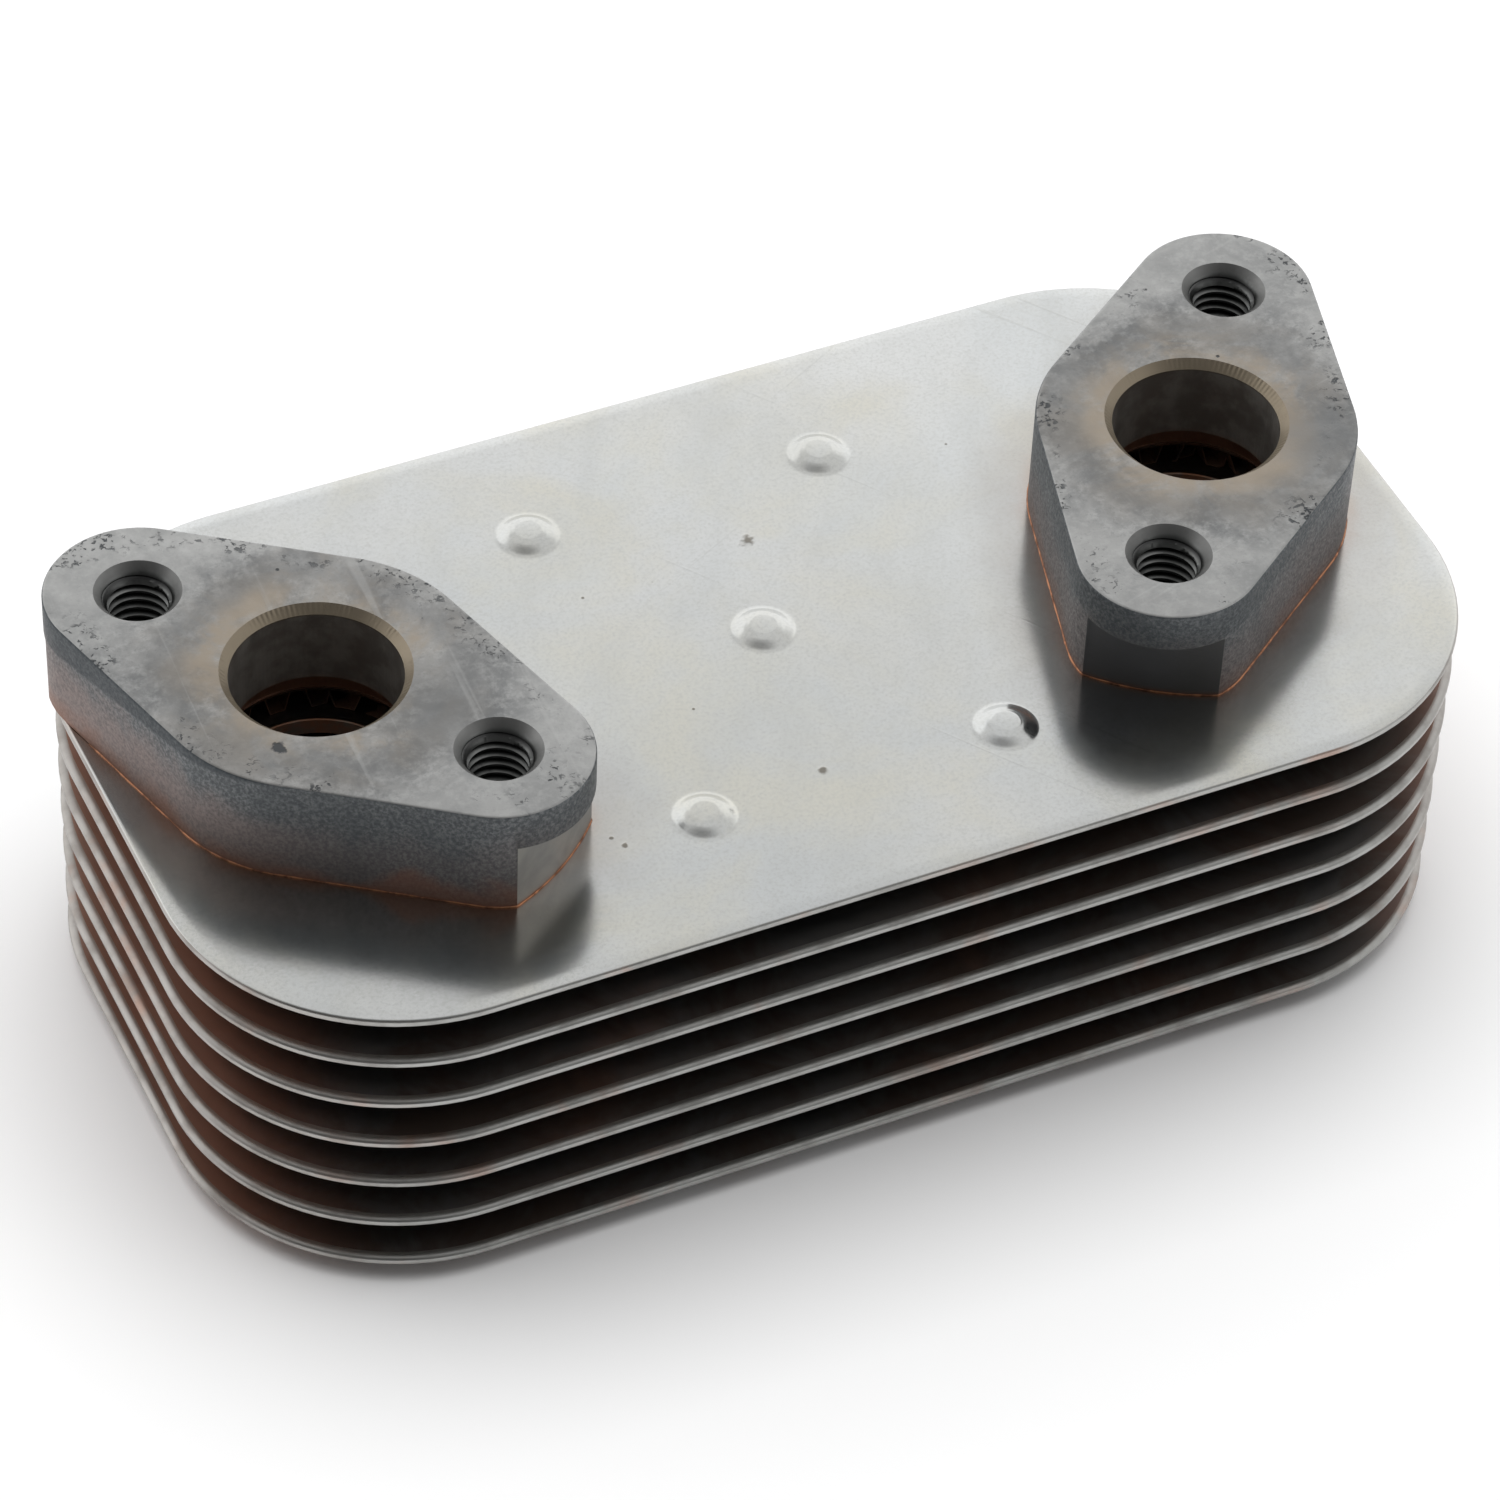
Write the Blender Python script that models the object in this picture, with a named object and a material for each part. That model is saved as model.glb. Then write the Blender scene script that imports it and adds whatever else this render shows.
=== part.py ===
"""Brazed stacked-plate heat exchanger with two two-bolt port flanges.

Seven flat plate elements are stacked with open gaps between them. Each element is an upper
shell and a lower shell joined at their rims, with a corrugated turbulator sheet inside. Spacer
rings carry the two port columns from one element to the next, and a forged flange is brazed
over each column on the top element. Everything is brazed together, so nothing moves.

Frame: metres, +Z up, origin on the resting face below the middle of the stack, X along the
length. The sizes below are in millimetres and are turned into metres as the meshes are built.
"""
import math

import bmesh
import bpy

MM = 0.001

# Plate stack: driving sizes
PLATE_LENGTH = 156.8
PLATE_WIDTH = 84.6
PLATE_CORNER = 27.4
ELEMENT_COUNT = 7
ELEMENT_PITCH = 6.43
COOLANT_GAP = 2.4
UPPER_SHEET = 0.6
LOWER_SHEET = 0.4
SEAM_GAP = 0.05
RIM_ROUND = 0.4
RIM_MID_SHARE = 0.29
LIP_INSET = 0.1
RIM_FLANGE = 3.5
DISH_SLOPE = 0.6
CORNER_STEPS = 7

# Ports and the dimples that hold the elements apart
PORT_SPACING = 108.8
UPPER_PORT_RADIUS = 11.4
LOWER_PORT_RADIUS = 10.55
PORT_STEPS = 20
DIMPLE_X = 18.5
DIMPLE_Y = 24.8
DIMPLE_BASE_RADIUS = 3.8
DIMPLE_TOP_RADIUS = 1.5
DIMPLE_STEPS = 10
DIMPLE_TIP_THINNING = 1 / 3
JOINT_GAP = 0.06

# Spacer rings
RING_OUTER_RADIUS = 14.5

# Turbulator sheets
FIN_PERIOD = 9.6
FIN_SHEET = 0.3
FIN_CLEARANCE = 0.1
FIN_MARGIN = 2.0
FIN_PORT_CLEARANCE = 0.6
FIN_SHAPE = ((0.06, 1), (0.38, 1), (0.56, -1), (0.88, -1))
FIN_PORT_STEPS = 16
FIN_PORT_OVERRUN = 5.0

# Port flanges
FLANGE_HEIGHT = 13.7
FLANGE_ANGLE = math.radians(54.7)
HUB_RADIUS = 18.6
EAR_RADIUS = 10.65
BOLT_SPACING = 47.0
EAR_HEIGHT = 4.9
TURNED_RADIUS = 31.7
EDGE_BREAK = 0.4
BORE_RADIUS = 9.7
BORE_CHAMFER = 0.97
COUNTERBORE_RADIUS = 11.5
COUNTERBORE_DEPTH = 3.1
BORE_STEPS = 40
THREAD_MINOR_RADIUS = 3.325
THREAD_CHAMFER_RADIUS = 5.05
THREAD_CHAMFER_DEPTH = 1.3
THREAD_DEPTH = 11.5
THREAD_STEPS = 20
EAR_STEPS = 5
HUB_STEPS = 5

# Shading: edges turned by more than this stay crisp
CRISP_DEGREES = 32

# Braze fillets round the flange feet
FILLET_WIDTH = 0.7
FILLET_HEIGHT = 0.6

# Worked out from the driving sizes
ELEMENT_HEIGHT = ELEMENT_PITCH - COOLANT_GAP
STACK_TOP = ELEMENT_HEIGHT + (ELEMENT_COUNT - 1) * ELEMENT_PITCH
DIMPLE_HEIGHT = (COOLANT_GAP - JOINT_GAP) / 2
PORT_CENTRES = ((-PORT_SPACING / 2, 0.0), (PORT_SPACING / 2, 0.0))
DIMPLE_CENTRES = (
    (0.0, 0.0),
    (-DIMPLE_X, -DIMPLE_Y),
    (DIMPLE_X, -DIMPLE_Y),
    (DIMPLE_X, DIMPLE_Y),
    (-DIMPLE_X, DIMPLE_Y),
)


# ---------------------------------------------------------------- outlines, in millimetres

def circle(centre, radius, steps):
    """Return the points of a circle, anticlockwise."""
    points = []
    for step in range(steps):
        angle = 2 * math.pi * step / steps
        points.append((centre[0] + radius * math.cos(angle), centre[1] + radius * math.sin(angle)))
    return points


def plate_outline(inset):
    """Return the plate's rounded-rectangle outline, moved inwards by inset."""
    radius = PLATE_CORNER - inset
    half_x = PLATE_LENGTH / 2 - PLATE_CORNER
    half_y = PLATE_WIDTH / 2 - PLATE_CORNER
    points = []
    for quarter, (side_x, side_y) in enumerate(((1, 1), (-1, 1), (-1, -1), (1, -1))):
        for step in range(CORNER_STEPS + 1):
            angle = math.pi / 2 * (quarter + step / CORNER_STEPS)
            points.append((
                side_x * half_x + radius * math.cos(angle),
                side_y * half_y + radius * math.sin(angle),
            ))
    return points


def flange_outline(inset, turned):
    """Return the flange's outline round its bore, moved inwards by inset.

    The outline is the belt round a hub circle and two ear circles. With turned set, its two
    ends are cut back to a cylinder about the bore.
    """
    hub = HUB_RADIUS - inset
    ear = EAR_RADIUS - inset
    turned_radius = TURNED_RADIUS - inset
    reach = BOLT_SPACING / 2
    normal_x = (hub - ear) / reach
    normal_y = math.sqrt(1 - normal_x ** 2)
    line_start = math.atan2(ear * normal_y, reach + ear * normal_x)
    line_end = math.acos(normal_x)
    meet_x = (turned_radius ** 2 - ear ** 2 + reach ** 2) / (2 * reach)
    turned_end = math.acos(meet_x / turned_radius)

    def ear_distance(angle):
        return reach * math.cos(angle) + math.sqrt(ear ** 2 - (reach * math.sin(angle)) ** 2)

    quarter = []
    for step in range(EAR_STEPS):
        angle = turned_end * step / EAR_STEPS
        quarter.append((angle, turned_radius if turned else ear_distance(angle)))
    for angle in (turned_end, (turned_end + line_start) / 2, line_start):
        quarter.append((angle, ear_distance(angle)))
    for step in range(HUB_STEPS):
        quarter.append((line_end + (math.pi / 2 - line_end) * step / HUB_STEPS, hub))

    points = []
    for turn in range(4):
        mirrored = turn % 2 == 1
        arc = [(math.pi - a, r) for a, r in reversed(quarter)] if mirrored else list(quarter)
        if mirrored:
            arc = [(math.pi / 2, hub)] + arc[:-1]
        for angle, distance in arc:
            angle += math.pi * (turn // 2)
            points.append((distance * math.cos(angle), distance * math.sin(angle)))
    return points


def placed(points, centre, angle):
    """Return the points turned by angle and moved to centre."""
    cosine = math.cos(angle)
    sine = math.sin(angle)
    return [(centre[0] + x * cosine - y * sine, centre[1] + x * sine + y * cosine) for x, y in points]


# ---------------------------------------------------------------- building closed bodies

def ring(bm, points, height):
    """Add one closed ring of vertices at a height and return them."""
    return [bm.verts.new((x * MM, y * MM, height * MM)) for x, y in points]


def loft(bm, rings):
    """Join each ring to the next with a band of faces."""
    for first, second in zip(rings, rings[1:]):
        count = len(first)
        for index in range(count):
            following = (index + 1) % count
            bm.faces.new((first[index], first[following], second[following], second[index]))


def cover(bm, rings):
    """Fill the flat face bounded by the first ring, leaving the other rings open."""
    edges = []
    for vertices in rings:
        for index, vertex in enumerate(vertices):
            following = vertices[(index + 1) % len(vertices)]
            edge = bm.edges.get((vertex, following)) or bm.edges.new((vertex, following))
            edges.append(edge)
    bmesh.ops.triangle_fill(bm, use_beauty=True, use_dissolve=False, edges=edges)


def finish(bm, name, material):
    """Turn the bmesh into a named object with its normals facing out."""
    bmesh.ops.remove_doubles(bm, verts=bm.verts, dist=1e-7)
    bmesh.ops.recalc_face_normals(bm, faces=bm.faces)
    mesh = bpy.data.meshes.new(name)
    bm.to_mesh(mesh)
    bm.free()
    mesh.shade_smooth()
    mesh.set_sharp_from_angle(angle=math.radians(CRISP_DEGREES))
    mesh.materials.append(material)
    item = bpy.data.objects.new(name, mesh)
    bpy.context.collection.objects.link(item)
    return item


def metal(name, colour, roughness, metallic=1.0):
    """Return a Principled material for one kind of metal."""
    material = bpy.data.materials.new(name)
    material.use_nodes = True
    shader = material.node_tree.nodes["Principled BSDF"]
    shader.inputs["Base Color"].default_value = (*colour, 1.0)
    shader.inputs["Roughness"].default_value = roughness
    shader.inputs["Metallic"].default_value = metallic
    return material


# ---------------------------------------------------------------- sub-parts

def face_height(element):
    """Return the height of an element's upper face; element 1 is the top one."""
    return STACK_TOP - (element - 1) * ELEMENT_PITCH


def dimple_skins(bm, base_height, sheet_shift, rise):
    """Add the five dimples' skins on one side of a sheet and return their base rings.

    The skin on the hollow side is a sheet's thickness smaller than the one on the raised side.
    """
    bases = []
    for centre in DIMPLE_CENTRES:
        base = ring(bm, circle(centre, DIMPLE_BASE_RADIUS - sheet_shift, DIMPLE_STEPS), base_height)
        tip_radius = DIMPLE_TOP_RADIUS - sheet_shift * DIMPLE_TIP_THINNING
        tip = ring(bm, circle(centre, tip_radius, DIMPLE_STEPS), base_height + rise)
        loft(bm, [base, tip])
        cover(bm, [tip])
        bases.append(base)
    return bases


def port_walls(bm, radius, upper, lower):
    """Add the two port holes' walls and return their upper and lower rings."""
    upper_rings = []
    lower_rings = []
    for centre in PORT_CENTRES:
        top = ring(bm, circle(centre, radius, PORT_STEPS), upper)
        bottom = ring(bm, circle(centre, radius, PORT_STEPS), lower)
        loft(bm, [top, bottom])
        upper_rings.append(top)
        lower_rings.append(bottom)
    return upper_rings, lower_rings


def upper_shell(element, material):
    """Make one element's flat upper shell with its rounded rim, two ports and five dimples."""
    top = face_height(element)
    bottom = top - UPPER_SHEET
    bm = bmesh.new()
    edge = [
        ring(bm, plate_outline(RIM_ROUND), top),
        ring(bm, plate_outline(RIM_ROUND * RIM_MID_SHARE), top - RIM_ROUND * RIM_MID_SHARE),
        ring(bm, plate_outline(0.0), top - RIM_ROUND),
        ring(bm, plate_outline(0.0), bottom),
    ]
    loft(bm, edge)
    ports_above, ports_below = port_walls(bm, UPPER_PORT_RADIUS, top, bottom)
    raised = dimple_skins(bm, top, 0.0, DIMPLE_HEIGHT)
    hollow = dimple_skins(bm, bottom, UPPER_SHEET, DIMPLE_HEIGHT)
    cover(bm, [edge[0]] + ports_above + raised)
    cover(bm, [edge[-1]] + ports_below + hollow)
    return finish(bm, f"upper_shell_{element}", material)


def lower_shell(element, material):
    """Make one element's dished lower shell; the last one is blank and is the resting face."""
    rim_top = face_height(element) - UPPER_SHEET - SEAM_GAP
    rim_bottom = rim_top - LOWER_SHEET
    outer_floor = face_height(element) - ELEMENT_HEIGHT
    inner_floor = outer_floor + LOWER_SHEET
    blank = element == ELEMENT_COUNT
    bm = bmesh.new()
    wall = [
        ring(bm, plate_outline(RIM_FLANGE + LOWER_SHEET + DISH_SLOPE), inner_floor),
        ring(bm, plate_outline(RIM_FLANGE + LOWER_SHEET), rim_top),
        ring(bm, plate_outline(LIP_INSET), rim_top),
        ring(bm, plate_outline(LIP_INSET), rim_bottom),
        ring(bm, plate_outline(RIM_FLANGE), rim_bottom),
        ring(bm, plate_outline(RIM_FLANGE + DISH_SLOPE), outer_floor),
    ]
    loft(bm, wall)
    floor_above = [wall[0]]
    floor_below = [wall[-1]]
    if not blank:
        ports_above, ports_below = port_walls(bm, LOWER_PORT_RADIUS, inner_floor, outer_floor)
        floor_above += ports_above + dimple_skins(bm, inner_floor, LOWER_SHEET, -DIMPLE_HEIGHT)
        floor_below += ports_below + dimple_skins(bm, outer_floor, 0.0, -DIMPLE_HEIGHT)
    cover(bm, floor_above)
    cover(bm, floor_below)
    return finish(bm, f"lower_shell_{element}", material)


def spacer_ring(side, centre, element, material):
    """Make the ring that joins one element's port to the next element's port."""
    top = face_height(element) - ELEMENT_HEIGHT - JOINT_GAP
    bottom = face_height(element + 1) + JOINT_GAP
    profile = (
        (LOWER_PORT_RADIUS, top),
        (RING_OUTER_RADIUS, top),
        (RING_OUTER_RADIUS, bottom),
        (LOWER_PORT_RADIUS, bottom),
        (LOWER_PORT_RADIUS, top),
    )
    bm = bmesh.new()
    loft(bm, [ring(bm, circle(centre, radius, PORT_STEPS), height) for radius, height in profile])
    return finish(bm, f"spacer_ring_{side}_{element}", material)


def fin_wave(middle, amplitude):
    """Return one turbulator's wave along X as (x, z) points on the sheet's middle line."""
    half_length = PLATE_LENGTH / 2 - RIM_FLANGE - FIN_MARGIN
    periods = math.floor(2 * half_length / FIN_PERIOD)
    start = -periods * FIN_PERIOD / 2
    points = []
    for period in range(periods):
        for share, side in FIN_SHAPE:
            points.append((start + (period + share) * FIN_PERIOD, middle + side * amplitude))
    return points


def half_width_at(x):
    """Return how far a turbulator reaches in Y at one place along its length."""
    inset = RIM_FLANGE + FIN_MARGIN
    corner = PLATE_CORNER - inset
    past_straight = max(0.0, abs(x) - (PLATE_LENGTH / 2 - PLATE_CORNER))
    return PLATE_WIDTH / 2 - PLATE_CORNER + math.sqrt(max(0.0, corner ** 2 - past_straight ** 2))


def turbulator(element, material, cutters):
    """Make one element's corrugated sheet, with an opening round each port."""
    ceiling = face_height(element) - UPPER_SHEET - FIN_CLEARANCE
    floor = face_height(element) - ELEMENT_HEIGHT + LOWER_SHEET + FIN_CLEARANCE
    wave = fin_wave((ceiling + floor) / 2, (ceiling - floor - FIN_SHEET) / 2)
    section = [(x, z + FIN_SHEET / 2) for x, z in wave]
    section += [(x, z - FIN_SHEET / 2) for x, z in reversed(wave)]
    bm = bmesh.new()
    sides = []
    for side in (-1, 1):
        sides.append([bm.verts.new((x * MM, side * half_width_at(x) * MM, z * MM)) for x, z in section])
    loft(bm, sides)
    count = len(wave)
    for vertices in sides:
        for index in range(count - 1):
            mate = 2 * count - 1 - index
            bm.faces.new((vertices[index], vertices[index + 1], vertices[mate - 1], vertices[mate]))
    item = finish(bm, f"turbulator_{element}", material)
    for cutter in cutters:
        cut = item.modifiers.new("port", "BOOLEAN")
        cut.operation = "DIFFERENCE"
        cut.solver = "EXACT"
        cut.object = cutter
    return item


def port_cutter(side, centre):
    """Make the guide cylinder that opens every turbulator round one port."""
    radius = UPPER_PORT_RADIUS + FIN_PORT_CLEARANCE
    bm = bmesh.new()
    heights = (STACK_TOP + FIN_PORT_OVERRUN, -FIN_PORT_OVERRUN)
    walls = [ring(bm, circle(centre, radius, FIN_PORT_STEPS), height) for height in heights]
    loft(bm, walls)
    cover(bm, [walls[0]])
    cover(bm, [walls[1]])
    item = finish(bm, f"port_guide_{side}", metal("guide", (0.5, 0.5, 0.5), 0.5))
    item.hide_render = True
    item.display_type = "WIRE"
    return item


def threaded_hole(bm, centre, top):
    """Add one blind tapped hole's walls and return the ring at its mouth."""
    walls = [
        ring(bm, circle(centre, THREAD_CHAMFER_RADIUS, THREAD_STEPS), top),
        ring(bm, circle(centre, THREAD_MINOR_RADIUS, THREAD_STEPS), top - THREAD_CHAMFER_DEPTH),
        ring(bm, circle(centre, THREAD_MINOR_RADIUS, THREAD_STEPS), top - THREAD_DEPTH),
    ]
    loft(bm, walls)
    cover(bm, [walls[-1]])
    return walls[0]


def port_flange(side, centre, angle, material):
    """Make one two-bolt flange with its chamfered bore, counterbore and two tapped holes."""
    foot = STACK_TOP + JOINT_GAP
    top = foot + FLANGE_HEIGHT
    ear_underside = top - EAR_HEIGHT

    def outline(inset, turned):
        return placed(flange_outline(inset, turned), centre, angle)

    bm = bmesh.new()
    skin = [
        ring(bm, outline(EDGE_BREAK, False), top),
        ring(bm, outline(0.0, False), top - EDGE_BREAK),
        ring(bm, outline(0.0, False), ear_underside),
        ring(bm, outline(0.0, True), ear_underside),
        ring(bm, outline(0.0, True), foot),
    ]
    loft(bm, skin)
    bore = [
        ring(bm, circle(centre, BORE_RADIUS + BORE_CHAMFER, BORE_STEPS), top),
        ring(bm, circle(centre, BORE_RADIUS, BORE_STEPS), top - BORE_CHAMFER),
        ring(bm, circle(centre, BORE_RADIUS, BORE_STEPS), foot + COUNTERBORE_DEPTH),
        ring(bm, circle(centre, COUNTERBORE_RADIUS, BORE_STEPS), foot + COUNTERBORE_DEPTH),
        ring(bm, circle(centre, COUNTERBORE_RADIUS, BORE_STEPS), foot),
    ]
    loft(bm, bore)
    bolts = placed([(-BOLT_SPACING / 2, 0.0), (BOLT_SPACING / 2, 0.0)], centre, angle)
    mouths = [threaded_hole(bm, bolt, top) for bolt in bolts]
    cover(bm, [skin[0], bore[0]] + mouths)
    cover(bm, [skin[-1], bore[-1]])
    return finish(bm, f"port_flange_{side}", material)


def is_on_plate(point):
    """Return whether a point lies over the top plate's flat face, inside its rounded rim."""
    past_x = max(0.0, abs(point[0]) - (PLATE_LENGTH / 2 - PLATE_CORNER))
    past_y = max(0.0, abs(point[1]) - (PLATE_WIDTH / 2 - PLATE_CORNER))
    return math.hypot(past_x, past_y) <= PLATE_CORNER - RIM_ROUND


def braze_fillet(side, centre, angle, material):
    """Make the thin line of braze metal round one flange's foot.

    The line stops at both sides of the place where the foot reaches the plate's rounded rim.
    """
    low = STACK_TOP + JOINT_GAP
    profile = (
        (-JOINT_GAP, low),
        (-JOINT_GAP - FILLET_WIDTH, low),
        (-JOINT_GAP, low + FILLET_HEIGHT),
    )
    outlines = [placed(flange_outline(inset, True), centre, angle) for inset, _ in profile]
    resting = [is_on_plate(point) for point in outlines[1]]
    count = len(resting)
    start = next(index for index in range(count) if resting[index] and not resting[index - 1])
    length = sum(resting)
    bm = bmesh.new()
    strands = []
    for outline, (_, height) in zip(outlines, profile):
        run = [outline[(start + step) % count] for step in range(length)]
        strands.append(ring(bm, run, height))
    for step in range(length - 1):
        for first, second in zip(strands, strands[1:] + strands[:1]):
            bm.faces.new((first[step], first[step + 1], second[step + 1], second[step]))
    for end in (0, length - 1):
        bm.faces.new([strand[end] for strand in strands])
    return finish(bm, f"braze_fillet_{side}", material)


def clear_scene():
    """Remove every object that the new scene starts with."""
    for item in list(bpy.data.objects):
        bpy.data.objects.remove(item, do_unlink=True)


def main():
    """Build the whole heat exchanger."""
    clear_scene()
    plate_steel = metal("plate_steel", (0.62, 0.62, 0.60), 0.32)
    dish_steel = metal("dish_steel", (0.50, 0.45, 0.42), 0.35)
    fin_steel = metal("fin_steel", (0.42, 0.36, 0.32), 0.45)
    flange_steel = metal("flange_steel", (0.46, 0.46, 0.46), 0.5)
    ring_steel = metal("ring_steel", (0.48, 0.42, 0.38), 0.4)
    braze_copper = metal("braze_copper", (0.72, 0.40, 0.26), 0.35)

    sides = (("left", PORT_CENTRES[0], -FLANGE_ANGLE), ("right", PORT_CENTRES[1], FLANGE_ANGLE))
    cutters = [port_cutter(side, centre) for side, centre, _ in sides]
    for element in range(1, ELEMENT_COUNT + 1):
        upper_shell(element, plate_steel)
        lower_shell(element, dish_steel)
        turbulator(element, fin_steel, cutters)
    for element in range(1, ELEMENT_COUNT):
        for side, centre, _ in sides:
            spacer_ring(side, centre, element, ring_steel)
    for side, centre, angle in sides:
        port_flange(side, centre, angle, flange_steel)
        braze_fillet(side, centre, angle, braze_copper)


main()
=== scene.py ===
"""The finished look of a brazed stacked-plate heat exchanger core.

Seven plate elements, each an upper shell and a dished lower shell with a finned turbulator
inside, stand on one another with open gaps between them. Spacer rings carry the two port
columns, and a forged two-bolt flange is brazed over each column on the top element.

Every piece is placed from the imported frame, in metres, and rides on its only body.
"""
from __future__ import annotations

import logging
import math
from collections.abc import Callable, Sequence
from dataclasses import dataclass, field
from enum import Enum

import bmesh
import bpy
from mathutils import Matrix, Vector


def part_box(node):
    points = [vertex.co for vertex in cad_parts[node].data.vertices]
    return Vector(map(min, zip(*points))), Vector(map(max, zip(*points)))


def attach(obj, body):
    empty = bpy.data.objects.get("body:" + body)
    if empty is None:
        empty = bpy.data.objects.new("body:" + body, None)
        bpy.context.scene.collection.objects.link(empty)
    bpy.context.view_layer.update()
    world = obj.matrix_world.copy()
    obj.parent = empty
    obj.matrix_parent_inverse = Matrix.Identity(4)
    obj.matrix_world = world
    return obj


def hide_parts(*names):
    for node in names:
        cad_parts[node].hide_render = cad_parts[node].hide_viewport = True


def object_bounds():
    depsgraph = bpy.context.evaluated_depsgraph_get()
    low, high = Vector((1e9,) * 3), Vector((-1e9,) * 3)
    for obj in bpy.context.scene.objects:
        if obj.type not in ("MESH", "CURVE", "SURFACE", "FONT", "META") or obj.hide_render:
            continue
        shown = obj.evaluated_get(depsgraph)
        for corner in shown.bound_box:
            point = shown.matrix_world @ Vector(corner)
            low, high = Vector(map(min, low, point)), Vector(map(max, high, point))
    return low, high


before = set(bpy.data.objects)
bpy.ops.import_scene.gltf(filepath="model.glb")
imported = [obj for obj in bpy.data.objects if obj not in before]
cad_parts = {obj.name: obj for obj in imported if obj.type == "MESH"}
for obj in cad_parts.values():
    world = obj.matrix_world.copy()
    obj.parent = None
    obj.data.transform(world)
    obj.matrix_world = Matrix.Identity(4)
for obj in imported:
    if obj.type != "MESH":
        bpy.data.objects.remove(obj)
CAD_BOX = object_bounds()

LOG = logging.getLogger("heat_exchanger")
MM = 0.001
TURN = 2 * math.pi
WELD = 2e-6  # corners closer than this are merged, in metres
TOUCH = 5e-6  # places closer than this count as the same, in metres
SKIN = 0.01 * MM  # how far a face's middle may stray from its level
HAIR = 0.02 * MM  # the slack that tells neighbouring edges apart
NEAR = 0.1 * MM  # how far a round face's middle may stray from its centre
ELEMENTS = 7
SLANTS = {"left": -54.7, "right": 54.7}  # each flange's turn off the length, in degrees

Colour = tuple[float, float, float]
Point2 = tuple[float, float]


# ------------------------------------------------------------------ modelling bench


class Select(Enum):
    """The kind of element that a pick in edit mode chooses."""

    CORNERS = "VERT"
    EDGES = "EDGE"
    FACES = "FACE"


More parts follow.
